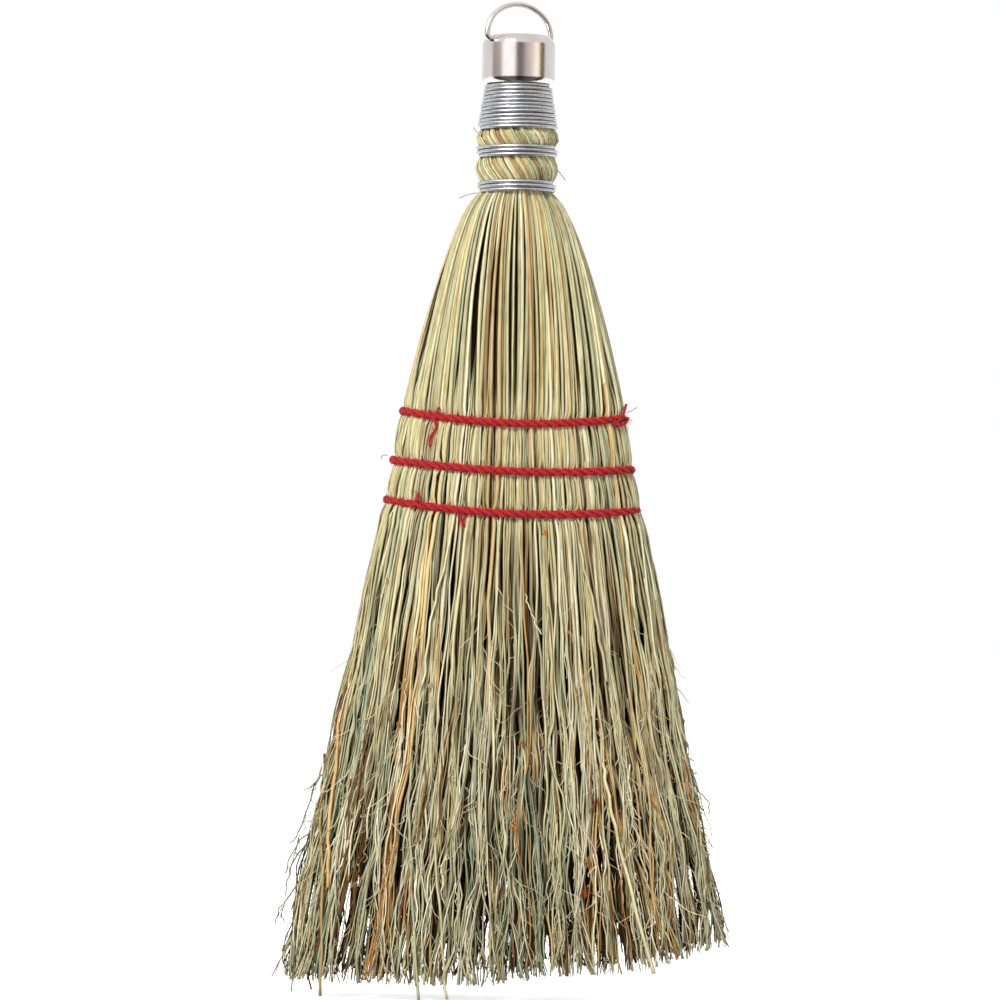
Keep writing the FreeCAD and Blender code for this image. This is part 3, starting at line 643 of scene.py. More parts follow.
def trim_height(x):
    over = np.clip((x - TRIM_RISE_FROM) / (TIP_HALF_WIDTH - TRIM_RISE_FROM), 0, None)
    step = np.clip((x - TRIM_STEP_FROM) / TRIM_STEP_WIDTH, 0, 1)
    return TRIM_FOOT + TRIM_STEP * step + TRIM_RISE * over**2


def tip_heights(rng, x, extra):
    """Most straws end near the trim line, some well above it and a few below."""
    count = len(x)
    height = trim_height(x) + rng.exponential(TRIM_UNEVEN + extra, count)
    short = rng.random(count) < SHORT_SHARE
    height = np.where(short, height + rng.uniform(*SHORT_BY, count), height)
    straggler = (rng.random(count) < LONG_SHARE) & (x < TRIM_RISE_FROM)
    return np.clip(np.where(straggler, rng.uniform(*LONG_TIP, count), height), *TIP_LIMITS)


def clump_pull(place):
    """How far the tuft that a place on a face belongs to draws it aside, alike on both faces."""
    half, k = np.divmod(place, FACE_BUNDLES + 1)
    across = np.where(half == 1, k, FACE_BUNDLES - k) / FACE_BUNDLES
    number = np.floor(across * CLUMPS)
    centre = (number + 0.5 + CLUMP_SCATTER * np.sin(CLUMP_BEAT * number)) / CLUMPS * FACE_BUNDLES
    centre = half * (FACE_BUNDLES + 1) + np.where(half == 1, centre, FACE_BUNDLES - centre)
    pull = mix(*CLUMP_PULL, (1 + np.sin(PULL_BEAT * number + 1)) / 2)
    return np.where(k > FACE_BUNDLES, 0, (centre - place) * pull)


def kinks(rng, count, levels, knots):
    """Random broken lines along straws, in two directions."""
    at = np.linspace(0, knots - SHORT_OF_END, levels)
    low = at.astype(int)
    values = rng.normal(0, 1, (2, count, knots))
    return mix(values[:, :, low], values[:, :, low + 1], at - low)


def kinked(rng, lines, knots, size):
    """Lines with broken bends across and in depth."""
    lines[..., :2] += kinks(rng, *lines.shape[:2], knots).transpose(1, 2, 0) * size
    return lines


def held_in(path):
    """Keeps straws from standing far out of the outline."""
    for axis, half in zip((0, 1), half_sizes(path[..., 2])):
        beyond = np.abs(path[..., axis]) - half
        kept = half + STRAY * np.tanh(beyond / STRAY)
        path[..., axis] = np.where(beyond > 0, np.sign(path[..., axis]) * kept, path[..., axis])
    return path


def straw_heights(top, tip, stretches):
    """Heights of the points of straws: so many down to each given height, the rest to the tip."""
    parts, start = [], top
    for height, count in stretches:
        end = np.full_like(top, height)
        parts.append(mix(start, end, np.linspace(0, 1, count, endpoint=False)[None, :]))
        start = end
    parts.append(mix(start, tip, np.linspace(0, 1, LOWER_LEVELS)[None, :]))
    return np.concatenate(parts, 1)


def wiggle(rng, path, kind):
    """Bends straws: long waves and broken lines below the sewing, and a hook at the tip."""
    count, levels = path.shape[:2]
    z = path[..., 2]
    fall = fall_share(z)
    phase = rng.uniform(0, 2 * math.pi, (2, count, 1))
    length = rng.uniform(*WAVE_LENGTH, (2, count, 1))
    size = kind["wave"] * rng.uniform(*WAVE_SHARE, (2, count, 1)) * fall**WAVE_POWER + WAVE_LEAST
    broken = kinks(rng, count, levels, kind["knots"]) * (kind["kink"] * fall**KINK_POWER + KINK_LEAST)
    hook = np.clip((z[:, -1:] + HOOK_LENGTH - z) / HOOK_LENGTH, 0, None) ** 2
    for axis, damp in ((0, 1.0), (1, DEPTH_DAMP)):
        sway = size[axis] * np.sin(2 * math.pi * z / length[axis] + phase[axis])
        tip_bend = rng.normal(0, kind["bend"], count)[:, None] * hook
        path[..., axis] += damp * (sway + broken[axis] + tip_bend)
    return held_in(path)


def parted(rng, path):
    """Opens the gaps between the tufts, which show through the broom from face to face."""
    z = path[..., 2]
    wide = half_sizes(z)[0]
    for foot, head, widest, top in PARTINGS:
        height = np.clip((z - PARTING_FOOT) / (top - PARTING_FOOT), 0, 1)
        opened = np.sin(math.pi * height) * rng.uniform(*PARTING_HOLD, (len(path), 1))
        aside = path[..., 0] - middle_x(z) - mix(foot, head, height) * wide
        side = np.where((aside * opened).sum(1, keepdims=True) < 0, -1.0, 1.0)
        clear, wrong = np.maximum(side * aside, 0), np.minimum(side * aside, 0)
        kept = np.hypot(widest * opened, clear) + wrong * (1 - np.minimum(opened, 1))
        path[..., 0] += side * kept - aside
    return path


def grow(rng, places, kind):
    """Centre lines and radii of straws that start at the given places."""
    count = len(places)

    def pick(name):
        return rng.uniform(*kind[name], count)[:, None]

    def stray(size):
        return rng.normal(0, size, count)[:, None]

    foot_x = outline(places, np.full(count, TRIM_FOOT), FOOT_INSET)[:, 0]
    tip = tip_heights(rng, foot_x, kind["tip"])[:, None]
    z = straw_heights(pick("top"), tip, kind["stretches"])
    share, fall = flare_share(z), fall_share(z)
    base = places[:, None]
    place = base + clump_pull(base) * np.clip(1 - z / CLUMP_TOP, 0, 1) ** CLUMP_POWER
    place = place + stray(kind["drift"]) * 2 * fall * (1 - fall)
    place = place + stray(FLARE_DRIFT) * share * (1 - fall)
    place = place + stray(FLARE_BOW) * np.sin(math.pi * share)
    deep = half_sizes(z)[1]
    inset = mix(pick("neck"), pick("sewn"), share)
    inset = np.where(z < FLARE_FOOT, inset * deep / SEWN_HALF_DEPTH, inset)
    inset = np.minimum(inset, DEEPEST * deep)
    x = outline(place, z, inset)[..., 0]
    place = place + (bundle_centre(base) - place) * pinch(x, z) * np.exp(-inset / PINCH_FADE)
    path = outline(place, z, inset + cinch(x, z) * np.exp(-inset / CINCH_FADE))
    girth = np.interp(z, kind["heights"], kind["girth"])
    radius = pick("radius") * girth ** rng.uniform(*GIRTH_POWER, (count, 1))
    return parted(rng, wiggle(rng, path, kind)), radius


def branches(rng, path, kind, count):
    """Fine branches that leave straws below the sewing and run down beside them to the tips."""
    lower = path[:, -LOWER_LEVELS:]
    owner = rng.integers(0, len(path), count)
    end = lower[owner, -1]
    tip = tip_heights(rng, end[:, 0], kind["tip"])[:, None]
    start = rng.uniform(*kind["start"], (count, 1))
    tip = np.minimum(tip, start - kind["least"])
    z = mix(start, tip, np.linspace(0, 1, kind["levels"])[None, :])
    at = (SEWN_FOOT - z) / (SEWN_FOOT - end[:, 2:]) * (LOWER_LEVELS - 1)
    at = np.clip(at, 0, LOWER_LEVELS - SHORT_OF_END)
    low, rows = at.astype(int), owner[:, None]
    line = mix(lower[rows, low], lower[rows, low + 1], (at - low)[..., None])
    line[..., 2] = z
    turn = rng.uniform(0, 2 * math.pi, (count, 1))
    reach = rng.uniform(*kind["spread"], (count, 1)) * ((start - z) / start) ** kind["spread_power"]
    line[..., 0] += reach * np.cos(turn)
    line[..., 1] += reach * np.sin(turn) * kind["spread_depth"]
    taper = np.linspace(1, kind["taper"], kind["levels"])[None, :]
    radius = rng.uniform(*kind["radius"], (count, 1)) * taper
    return parted(rng, wiggle(rng, line, kind)), radius, owner


def twigs(rng, path, count):
    """Fine curly side shoots on branches."""
    steps, margin = TWIG["levels"], TWIG["margin"]
    owner = rng.integers(0, path.shape[0], count)
    level = rng.integers(margin, path.shape[1] - margin, count)
    start = path[owner, level]
    way = unit(path[owner, level + 1] - start)
    aside = unit(rng.normal(0, 1, (count, 3)) * TWIG["aside"])
    reach = rng.uniform(*TWIG["length"], count)
    reach = np.minimum(reach, np.maximum(start[:, 2] - trim_height(start[:, 0]), TWIG["least"]))
    spread = np.tan(np.radians(rng.uniform(*TWIG["angle"], count)))
    curl = rng.normal(0, 1, (count, 3)) * TWIG["curl"]
    t = np.linspace(0, 1, steps)[None, :, None]
    out = way + aside * spread[:, None]
    line = start[:, None] + reach[:, None, None] * (out[:, None] * t + curl[:, None] * t**2)
    phase = rng.uniform(0, 2 * math.pi, (count, 1))
    turn = phase + rng.uniform(*TWIG["wave_turn"], (count, 1)) * t[..., 0]
    swing, rise = TWIG["wave_depth"] * np.cos(turn), TWIG["wave_rise"] * np.cos(turn)
    curls = np.stack([np.sin(turn), swing, rise], -1)
    line = held_in(line + TWIG["wave"] * rng.uniform(*TWIG["wave_share"], (count, 1, 1)) * curls * t)
    line[..., 2] = np.maximum(line[..., 2], TWIG["lowest"])
    radius = rng.uniform(*TWIG["radius"], count)[:, None] * np.linspace(1, TWIG["taper"], steps)
    return line, radius, owner


def tones(rng, count, shares):
    """Each straw's colour above the sewing and at the tip."""
    upper, lower = shares
    first = UPPER_COLOURS[rng.choice(len(UPPER_COLOURS), count, p=upper)]
    second = LOWER_COLOURS[rng.choice(len(LOWER_COLOURS), count, p=lower)]
    return np.stack([first, second], 1)


def kin_tones(rng, parents, owner, shares):
    """Colours of what grows on straws: mostly those of the straw that it grows on."""
    own = rng.random((len(owner), 1, 1)) < KIN_SHARE
    return np.where(own, parents[owner], tones(rng, len(owner), shares))


def depth_below(path):
    """How deep points of straws lie below the outer face."""
    x, y, z = np.moveaxis(path, -1, 0)
    deep = half_sizes(z)[1]
    power = squareness(z)
    reach = np.abs(share_across(x, z)) ** power + np.abs(y / deep) ** power
    return np.clip(1 - reach ** (1 / power), 0, None) * deep


def tints(rng, path, tone, shade):
    """Colours along straws: each turns from one straw colour to another, and deep ones get painted shade.
    """
    count, levels = path.shape[:2]
    fall = fall_share(path[..., 2])[..., None]
    turn = np.clip(fall * TURN_RATE + rng.uniform(*TURN_START, (count, 1, 1)), 0, 1)
    colour = mix(tone[:, :1], tone[:, 1:], turn)
    light = rng.uniform(*STRAW_LIGHT, (count, 1, 1))
    knots = rng.normal(1, PATCH_CONTRAST, (count, PATCHES))
    at = np.linspace(0, PATCHES - 1, levels)
    patches = np.stack([np.interp(at, np.arange(PATCHES), row) for row in knots])[..., None]
    shade = shade * np.interp(path[..., 2], SHADE_HEIGHTS, SHADE_SHARES)
    # Painted shade: below a starting depth, colour goes towards a dark brown, more for each millimetre
    # deeper
    shown = np.clip(1 - (depth_below(path) - SHADE_START) * shade, LEAST_SHOWN, 1)[..., None]
    return np.clip(mix(PAINTED_SHADE_BROWN, colour * light * patches, shown), 0, 1)


def outward(path):
    """The way out of the outline at points of straws."""
    x, y, z = np.moveaxis(path, -1, 0)
    wide, deep = half_sizes(z)
    return unit(np.stack([(x - middle_x(z)) / wide**2, y / deep**2, 0 * z], -1))


def ring_points(path, radius, sides, up):
    """Points of tubes round their lines, and the way from the line to each."""
    way = unit(np.gradient(path, axis=1))
    across = unit(np.cross(way, np.broadcast_to(up, way.shape)))
    over = np.cross(across, way)
    angle = np.linspace(0, 2 * math.pi, sides, endpoint=False)
    ring = across[:, :, None] * np.cos(angle)[:, None] + over[:, :, None] * np.sin(angle)[:, None]
    return path[:, :, None] + ring * radius[:, :, None, None], ring


def tube_faces(count, levels, sides):
    """Side faces and closed ends of tubes, with each corner's tube and its place on the tube's strip."""
    index = np.arange(count * levels * sides).reshape(count, levels, sides)
    after = np.roll(index, -1, axis=2)
    quads = np.stack([index[:, :-1], after[:, :-1], after[:, 1:], index[:, 1:]], -1)
    side = np.arange(sides) / sides
    height = np.arange(levels) / (levels - 1)
    u = np.stack([side, side + 1 / sides, side + 1 / sides, side], -1)
    v = np.stack([height[:-1], height[:-1], height[1:], height[1:]], -1)
    u = np.broadcast_to(u[None, None], quads.shape)
    v = np.broadcast_to(v[None, :, None], quads.shape)
    owner = np.broadcast_to(np.arange(count)[:, None, None, None], quads.shape)
    end_v = np.repeat([0.0, 1.0], count * sides)
    end_owner = np.repeat(np.tile(np.arange(count), 2), sides)
    return {
        "quads": quads.reshape(-1, 4),
        "ends": np.concatenate([index[:, 0, ::-1], index[:, -1]]),
        "u": np.concatenate([u.ravel(), np.full(end_v.size, 0.5)]),
        "v": np.concatenate([v.ravel(), end_v]),
        "owner": np.concatenate([owner.ravel(), end_owner]),
    }


def tube_group(path, radius, sides, tint, up=STRAW_UP, out=None):
    """Tubes along many lines with as many points each, with painted shade on the flanks if a way out is
    given.
    """
    count, levels = path.shape[:2]
    points, ring = ring_points(path, radius, sides, up)
    tint = np.repeat(tint[:, :, None], sides, axis=2)
    if out is not None:
        facing = np.einsum("abcd,abd->abc", ring, out)
        # Painted shade: darker where a tube's side faces in, away from the way out
        tint = tint * np.interp(facing, FLANK_FACING, PAINTED_FLANK_SHADE)[..., None]
    return {
        "points": points.reshape(-1, 3),
        "tint": tint.reshape(-1, 3),
        "count": count,
        **tube_faces(count, levels, sides),
    }


def strip_places(group, first_strip, columns, strip_rows):
    """Places of a group's corners on the bake map."""
    row, column = np.divmod(group["owner"] + first_strip, columns)
    u = (column + mix(STRIP_MARGIN_U, 1 - STRIP_MARGIN_U, group["u"])) / columns
    v = (row + mix(STRIP_MARGIN_V, 1 - STRIP_MARGIN_V, group["v"])) / strip_rows
    return np.stack([u, v], -1)


def joined(groups, strip_rows):
    """Points at the corners of all faces, each face's first corner and the corners' bake map places."""
    columns = math.ceil(sum(group["count"] for group in groups) / strip_rows)
    corners, starts, uv = [], [], []
    first_point = first_corner = first_strip = 0
    for group in groups:
        quads, ends = group["quads"] + first_point, group["ends"] + first_point
        corners += [quads.ravel(), ends.ravel()]
        starts.append(first_corner + 4 * np.arange(len(quads)))
        starts.append(first_corner + quads.size + ends.shape[1] * np.arange(len(ends)))
        uv.append(strip_places(group, first_strip, columns, strip_rows))
        first_point += len(group["points"])
        first_corner += quads.size + ends.size
        first_strip += group["count"]
    return [np.concatenate(parts) for parts in (corners, starts, uv)]


def add_object(name, data):
    thing = bpy.data.objects.new(name, data)
    bpy.context.scene.collection.objects.link(thing)
    return thing


def make_piece(name, groups, material, strip_rows=1):
    """One mesh object of tube groups."""
    corners, starts, uv = joined(groups, strip_rows)
    points = np.concatenate([group["points"] for group in groups]) * MM
    tint = np.concatenate([group["tint"] for group in groups])
    mesh = bpy.data.meshes.new(name)
    mesh.vertices.add(len(points))
    mesh.vertices.foreach_set("co", points.ravel().astype(np.float32))
    mesh.loops.add(len(corners))
    mesh.loops.foreach_set("vertex_index", corners.astype(np.int32))
    mesh.polygons.add(len(starts))
    mesh.polygons.foreach_set("loop_start", starts.astype(np.int32))
    mesh.polygons.foreach_set("use_smooth", np.ones(len(starts), bool))
    mesh.update(calc_edges=True)
    layer = mesh.uv_layers.new(name="OFBake")
    layer.data.foreach_set("uv", uv.ravel().astype(np.float32))
    colours = mesh.color_attributes.new("tint", "FLOAT_COLOR", "POINT")
    rgba = np.concatenate([tint, np.ones((len(tint), 1))], 1)
    colours.data.foreach_set("color", rgba.ravel().astype(np.float32))
    mesh.validate()
    mesh.materials.append(material)
    return add_object(name, mesh)


def set_inputs(tree, node, inputs):
    """Sets a node's inputs to values, or links them from other nodes' outputs."""
    for name, value in inputs.items():
        if isinstance(value, bpy.types.NodeSocket):
            tree.links.new(value, node.inputs[name])
        else:
            node.inputs[name].default_value = value


def add_node(tree, kind, inputs, **settings):
    """A new shader node's outputs."""
    node = tree.nodes.new("ShaderNode" + kind)
    for name, value in settings.items():
        setattr(node, name, value)
    set_inputs(tree, node, inputs)
    return node.outputs


def new_material(name):
    """A material with its node tree and its main shader."""
    material = bpy.data.materials.new(name)
    material.use_nodes = True
    tree = material.node_tree
    return material, tree, tree.nodes["Principled BSDF"]


def attribute(tree, name, output):
    return add_node(tree, "Attribute", {}, attribute_name=name)[output]


def noise(tree, stretch, detail):
    """Noise in millimetres of the object, stretched along each axis."""
    place = add_node(tree, "TexCoord", {})["Object"]
    scale = [value / MM for value in stretch]
    mapped = add_node(tree, "Mapping", {"Vector": place, "Scale": scale})["Vector"]
    return add_node(tree, "TexNoise", {"Vector": mapped, "Scale": 1.0, "Detail": detail})["Fac"]


def ramp(tree, value, *stops):
    """A colour ramp of (place, grey or colour) stops."""
    node = tree.nodes.new("ShaderNodeValToRGB")
    elements = node.color_ramp.elements
    while len(elements) < len(stops):
        elements.new(0.5)
    for element, (position, colour) in zip(elements, stops):
        element.position = position
        rgb = (colour,) * 3 if np.isscalar(colour) else colour
        element.color = (*rgb, 1.0)
    set_inputs(tree, node, {"Fac": value})
    return node.outputs["Color"]


def multiplied(tree, first, second):
    inputs = {"Factor": 1.0, "A": first, "B": second}
    return add_node(tree, "Mix", inputs, data_type="RGBA", blend_type="MULTIPLY")["Result"]


def tinted(tree, *shades):
    """The tint of each tube, darkened by shades."""
    colour = attribute(tree, "tint", "Color")
    for shade in shades:
        colour = multiplied(tree, colour, shade)
    return colour


def bump(tree, height, strength, distance):
    inputs = {"Height": height, "Strength": strength, "Distance": distance * MM}
    return add_node(tree, "Bump", inputs)["Normal"]


def straw_material():
    """Dried straw: its tint with painted shade of depth and flanks, streaks along the stalk, blotches and
    a waxy sheen.
    """
    material, tree, shader = new_material("straw")
    streaks = noise(tree, stretch=(4.0, 4.0, 0.12), detail=3.0)
    blotches = noise(tree, stretch=(0.6, 0.6, 0.16), detail=4.0)
    streak_shade = ramp(tree, streaks, (0.3, 0.78), (0.62, 1.0))
    blotch_shade = ramp(tree, blotches, (0.3, (0.82, 0.76, 0.68)), (0.55, 1.0))
    looks = {
        "Base Color": tinted(tree, streak_shade, blotch_shade),
        "Roughness": ramp(tree, streaks, (0.3, 0.62), (0.7, 0.44)),
        "Specular IOR Level": 0.14,
        "Normal": bump(tree, streaks, strength=0.5, distance=0.12),
    }
    set_inputs(tree, shader, looks)
    return material


def twine_material():
    """Red cotton twine: fibres along the plies and worn, darker patches."""
    material, tree, shader = new_material("twine")
    fibres = noise(tree, stretch=(7.0, 7.0, 7.0), detail=3.0)
    wear = noise(tree, stretch=(0.5, 0.5, 0.5), detail=2.0)
    fibre_shade = ramp(tree, fibres, (0.32, 0.66), (0.66, 1.0))
    wear_shade = ramp(tree, wear, (0.35, 0.8), (0.6, 1.0))
    looks = {
        "Base Color": tinted(tree, fibre_shade, wear_shade),
        "Roughness": ramp(tree, fibres, (0.3, 0.85), (0.7, 0.6)),
        "Sheen Weight": 0.08,
        "Sheen Roughness": 0.5,
        "Specular IOR Level": 0.25,
        "Normal": bump(tree, fibres, strength=0.6, distance=0.1),
    }
    set_inputs(tree, shader, looks)
    return material


def wire_material():
    """Galvanised wire: dull zinc with spangle, drawn streaks and small scuffs."""
    material, tree, shader = new_material("wire")
    spangle = noise(tree, stretch=(0.9, 0.9, 1.6), detail=3.0)
    drawn = noise(tree, stretch=(1.2, 1.2, 9.0), detail=2.0)
    looks = {
        "Base Color": ramp(tree, spangle, (0.3, (0.38, 0.385, 0.41)), (0.65, (0.56, 0.565, 0.59))),
        "Metallic": 1.0,
        "Roughness": ramp(tree, drawn, (0.3, 0.34), (0.7, 0.5)),
        "Normal": bump(tree, drawn, strength=0.25, distance=0.05),
    }
    set_inputs(tree, shader, looks)
    return material


def nickel_material(name, base, low_rough, high_rough, grain):
    """Nickel plating: slightly warm, with a fine pebbled surface and faint wiped patches."""
    material, tree, shader = new_material(name)
    pebble = noise(tree, stretch=(3.4, 3.4, 3.4), detail=2.0)
    wiped = noise(tree, stretch=(0.25, 0.25, 0.12), detail=3.0)
    dim = tuple(DIM_NICKEL * value for value in base)
    looks = {
        "Base Color": ramp(tree, wiped, (0.35, dim), (0.6, base)),
        "Metallic": 1.0,
        "Roughness": ramp(tree, wiped, (0.3, low_rough), (0.7, high_rough)),
        "Normal": bump(tree, pebble, strength=grain, distance=0.05),
    }
    set_inputs(tree, shader, looks)
    return material


def straw_groups(rng, places, kind, shares, shade):
    """Straws of one kind as tubes, with their paths and colours for what grows on them."""
    path, radius = grow(rng, places, kind)
    tone = tones(rng, len(places), shares)
    tint = tints(rng, path, tone, shade)
    return tube_group(path, radius, kind["sides"], tint, out=outward(path)), (path, tone)


def branch_groups(rng, straws, kind, count, shares, shade):
    """Branches on straws as tubes, with their paths and colours."""
    path, tone = straws
    line, radius, owner = branches(rng, path, kind, count)
    tone = kin_tones(rng, tone, owner, shares)
    tint = tints(rng, line, tone, shade)
    return tube_group(line, radius, kind["sides"], tint, out=outward(line)), (line, tone)


def twig_group(rng, fine, count, shares):
    line, tone = fine
    hairs, radius, owner = twigs(rng, line, count)
    tone = kin_tones(rng, tone, owner, shares) * TWIG_LIGHT
    return tube_group(hairs, radius, TWIG["sides"], tints(rng, hairs, tone, TWIG_SHADE))


def face_groups(rng, first, last, fill=1.0):
    """Straw between two places: stalks and their branches, thin straws and side shoots."""
    width = (last - first) * fill
    shares = (UPPER_SHARES, LOWER_SHARES)
    groups = []
    for kind, number, children in FACE_STRAWS:
        count = round(number * width)
        even = (np.arange(count) + 0.5 + rng.uniform(-1, 1, count) * PLACE_JITTER) / count
        group, straws = straw_groups(rng, mix(first, last, even), kind, shares, FACE_SHADE)
        count = round(children * width)
        fine_group, fine = branch_groups(rng, straws, BRANCH, count, shares, FACE_SHADE)
        groups += [group, fine_group, twig_group(rng, fine, round(TWIGS_PER_BRANCH * count), shares)]
    return groups


def core_groups(rng):
    """Straw between the two faces: stalks and branches."""
    shares = (CORE_SHARES, CORE_SHARES)
    places = (np.arange(CORE_STALKS) + rng.random(CORE_STALKS)) / CORE_STALKS * PLACES
    group, straws = straw_groups(rng, places, CORE_STALK, shares, CORE_SHADE)
    fine_group, _ = branch_groups(rng, straws, CORE_BRANCH, CORE_BRANCHES, shares, CORE_SHADE)
    return [group, fine_group]


def dress_straw(material):
    """Straw pieces for each pair of face bundles, for both edges and for the inside."""
    rng = np.random.default_rng(SEED)
    pieces = []
    for side, start in (("front", FACE_BUNDLES + 1), ("back", 0)):
        for k in range(0, FACE_BUNDLES, 2):
            first = k if side == "front" else FACE_BUNDLES - 2 - k
            groups = face_groups(rng, start + first, start + first + 2)
            piece = make_piece(f"{side}_straw_{k // 2 + 1}", groups, material, STRAW_STRIP_ROWS)
            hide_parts(f"{side}_bundle_{k + 1:02d}", f"{side}_bundle_{k + 2:02d}")
            pieces.append(piece)
    for side, start in (("left", FACE_BUNDLES), ("right", PLACES - 1)):
        groups = face_groups(rng, start, start + 1, EDGE_FILL)
        piece = make_piece(f"{side}_edge_straw", groups, material, STRAW_STRIP_ROWS)
        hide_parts(f"{side}_edge_bundle")
        pieces.append(piece)
    core = make_piece("inner_straw", core_groups(rng), material, STRAW_STRIP_ROWS)
    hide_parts("straw_core")
    for piece in pieces + [core]:
        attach(piece, "broom")


def face_depth(x, z):
    """Half depth of the straw at a place across it."""
    z = np.array(z)
    power = squareness(z)
    across = np.clip(np.abs(share_across(x, z)), 0, ACROSS_MOST)
    return half_sizes(z)[1] * (1 - across**power) ** (1 / power)


def through(corners, count):
    """So many places across and heights along a line through its corners."""
    corners = np.array(corners)
    at = np.linspace(0, len(corners) - 1, count)
    return [np.interp(at, np.arange(len(corners)), corners[:, axis]) for axis in (0, 1)]


def face_line(corners, lift):
    """A line on the front face, smoothed through its corners."""
    x, z = through(corners, LINE_LEVELS)
    line = np.stack([x, -face_depth(x, z) - lift, z], -1)
    for _ in range(LINE_SMOOTHINGS):
        line[1:-1] = (line[:-2] + 2 * line[1:-1] + line[2:]) / 4
    return line


def lying_group(rng):
    """Single straws that lie across the others, tucked under at the top."""
    thick, numbers, corners = zip(*LYING_STRAWS)
    lines = np.array([face_line(line, LYING_LIFT) for line in corners])
    along = np.linspace(0, 1, LINE_LEVELS)
    lines[..., 1] += np.interp(along, (0, LYING_TUCK_SHARE), (LYING_TUCK, 0))
    radius = np.array(thick)[:, None] * mix(*LYING_TAPER, along)
    lines = kinked(rng, lines, LYING_KNOTS, LYING_KINK)
    colour = LOWER_COLOURS[list(numbers)]
    tint = tints(rng, lines, np.stack([colour, colour], 1), FACE_SHADE)
    return tube_group(lines, radius, STALK["sides"], tint, out=outward(lines))


def husk_group(rng):
    """Dry seed husks: each a few pointed flakes that close on each other like a bud."""
    lines, radii, tint = [], [], []
    t = np.linspace(0, 1, FLAKE["levels"])[:, None]
    profile = np.sin(math.pi * mix(*FLAKE["ends"], t[:, 0])) ** FLAKE["fullness"]
    for x, z, size, colour in HUSKS:
        foot = np.array((x, -face_depth(x, z) - FLAKE["lift"], z))
        for spread in np.linspace(-FLAKE["fan"], FLAKE["fan"], FLAKE["number"]):
            start = foot + rng.normal(0, FLAKE["scatter"] * size, 3)
            way = np.array((spread + rng.normal(0, FLAKE["lean"]), rng.uniform(*FLAKE["tilt"]), -1.0))
            length = size * rng.uniform(*FLAKE["length"])
            curve = np.array((-FLAKE["closing"] * spread, 0.0, rng.normal(0, FLAKE["curl"])))
            lines.append(start + length * (way * t + curve * t**2 / 2))
            radii.append(FLAKE["girth"] * size * profile)
            tint.append(np.array(colour) * rng.uniform(*FLAKE["light"]) * mix(*FLAKE["shade"], t))
    return tube_group(np.array(lines), np.array(radii), FLAKE["sides"], np.clip(tint, 0, 1))


def hair_group():
    """Stray hairs that stand out from the neck and the sewing."""
    t = np.linspace(0, 1, HAIR_LEVELS)[:, None]
    lines = []
    for corners in NECK_HAIRS:
        a, b, c = (np.array((x, 0.0, z)) for x, z in corners)
        lines.append(mix(mix(a, b, t), mix(b, c, t), t))
    lines = np.array(lines)
    radius = np.full(lines.shape[:2], HAIR_RADIUS)
    return tube_group(lines, radius, HAIR_SIDES, HAIR_COLOUR + 0 * lines)


def wisp_groups(rng):
    """Frizzy wisps that stand out from the narrow edges, with side hairs."""
    lines = []
    for corners in EDGE_WISPS:
        x, z = through(corners, WISP_LEVELS)
        lines.append(np.stack([x, 0 * x + rng.uniform(-WISP_DEPTH, WISP_DEPTH), z], -1))
    lines = kinked(rng, np.array(lines), WISP_KNOTS, WISP_KINK)
    radius = np.full(lines.shape[:2], WISP_RADIUS) * np.linspace(*WISP_TAPER, WISP_LEVELS)
    hairs, hair_radius, _ = twigs(rng, lines, WISP_HAIRS * len(lines))
    return [
        tube_group(lines, radius, HAIR_SIDES, HAIR_COLOUR + 0 * lines),
        tube_group(hairs, hair_radius, TWIG["sides"], HAIR_COLOUR + 0 * hairs),
    ]


def dress_loose_bits(material):
    rng = np.random.default_rng(SEED + 3)
    groups = [lying_group(rng), husk_group(rng), hair_group(), *wisp_groups(rng)]
    piece = make_piece("loose_straws_and_husks", groups, material)
    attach(piece, "broom")


def wire_line(rng, foot, turns, foot_radius, head_radius):
    """A helix that climbs the neck, a little uneven, with both ends tucked in."""
    end = WIRE_END + 2 * math.pi * (turns - 1)
    angle = np.linspace(WIRE_START, end, WIRE_STEPS * turns)
    climb = (angle - WIRE_FRONT) / (2 * math.pi)
    radius = mix(foot_radius, head_radius, climb / (turns - 1)) + WIRE_OUT
    knots = np.linspace(WIRE_START, end, WIRE_KNOTS * turns)
    radius = radius + np.interp(angle, knots, rng.normal(0, WIRE_UNEVEN, len(knots)))
    rise = np.interp(angle, knots, rng.normal(0, WIRE_UNEVEN, len(knots)))
    from_start, from_end = angle - WIRE_START, end - angle
    tuck = np.clip(1 - from_start / WIRE_TAIL, 0, 1) + np.clip(1 - from_end / WIRE_TAIL, 0, 1)
    radius = radius - WIRE_TUCK * tuck**2
    z = foot + climb * WIRE_PITCH + rise
    return np.stack([radius * np.cos(angle), radius * np.sin(angle), z], -1)


def dress_wires():
    rng = np.random.default_rng(SEED + 1)
    material = wire_material()
    windings = {
        "neck_winding_wire": (WINDING_FOOT, WINDING_TURNS, WINDING_FOOT_RADIUS, WINDING_HEAD_RADIUS),
        "middle_band_wire": (MIDDLE_BAND - WIRE_PITCH, BAND_TURNS, MIDDLE_BAND_RADIUS, MIDDLE_BAND_RADIUS),
        "lower_band_wire": (LOWER_BAND - WIRE_PITCH, BAND_TURNS, LOWER_BAND_RADIUS, LOWER_BAND_RADIUS),
    }
    for node, winding in windings.items():
        line = wire_line(rng, *winding)[None]
        radius = np.full(line.shape[:2], WIRE_RADIUS)
        group = tube_group(line, radius, WIRE_SIDES, np.ones(line.shape), up=UP)
        piece = make_piece(node.replace("_wire", "_coil"), [group], material)
        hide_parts(node)
        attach(piece, "broom")


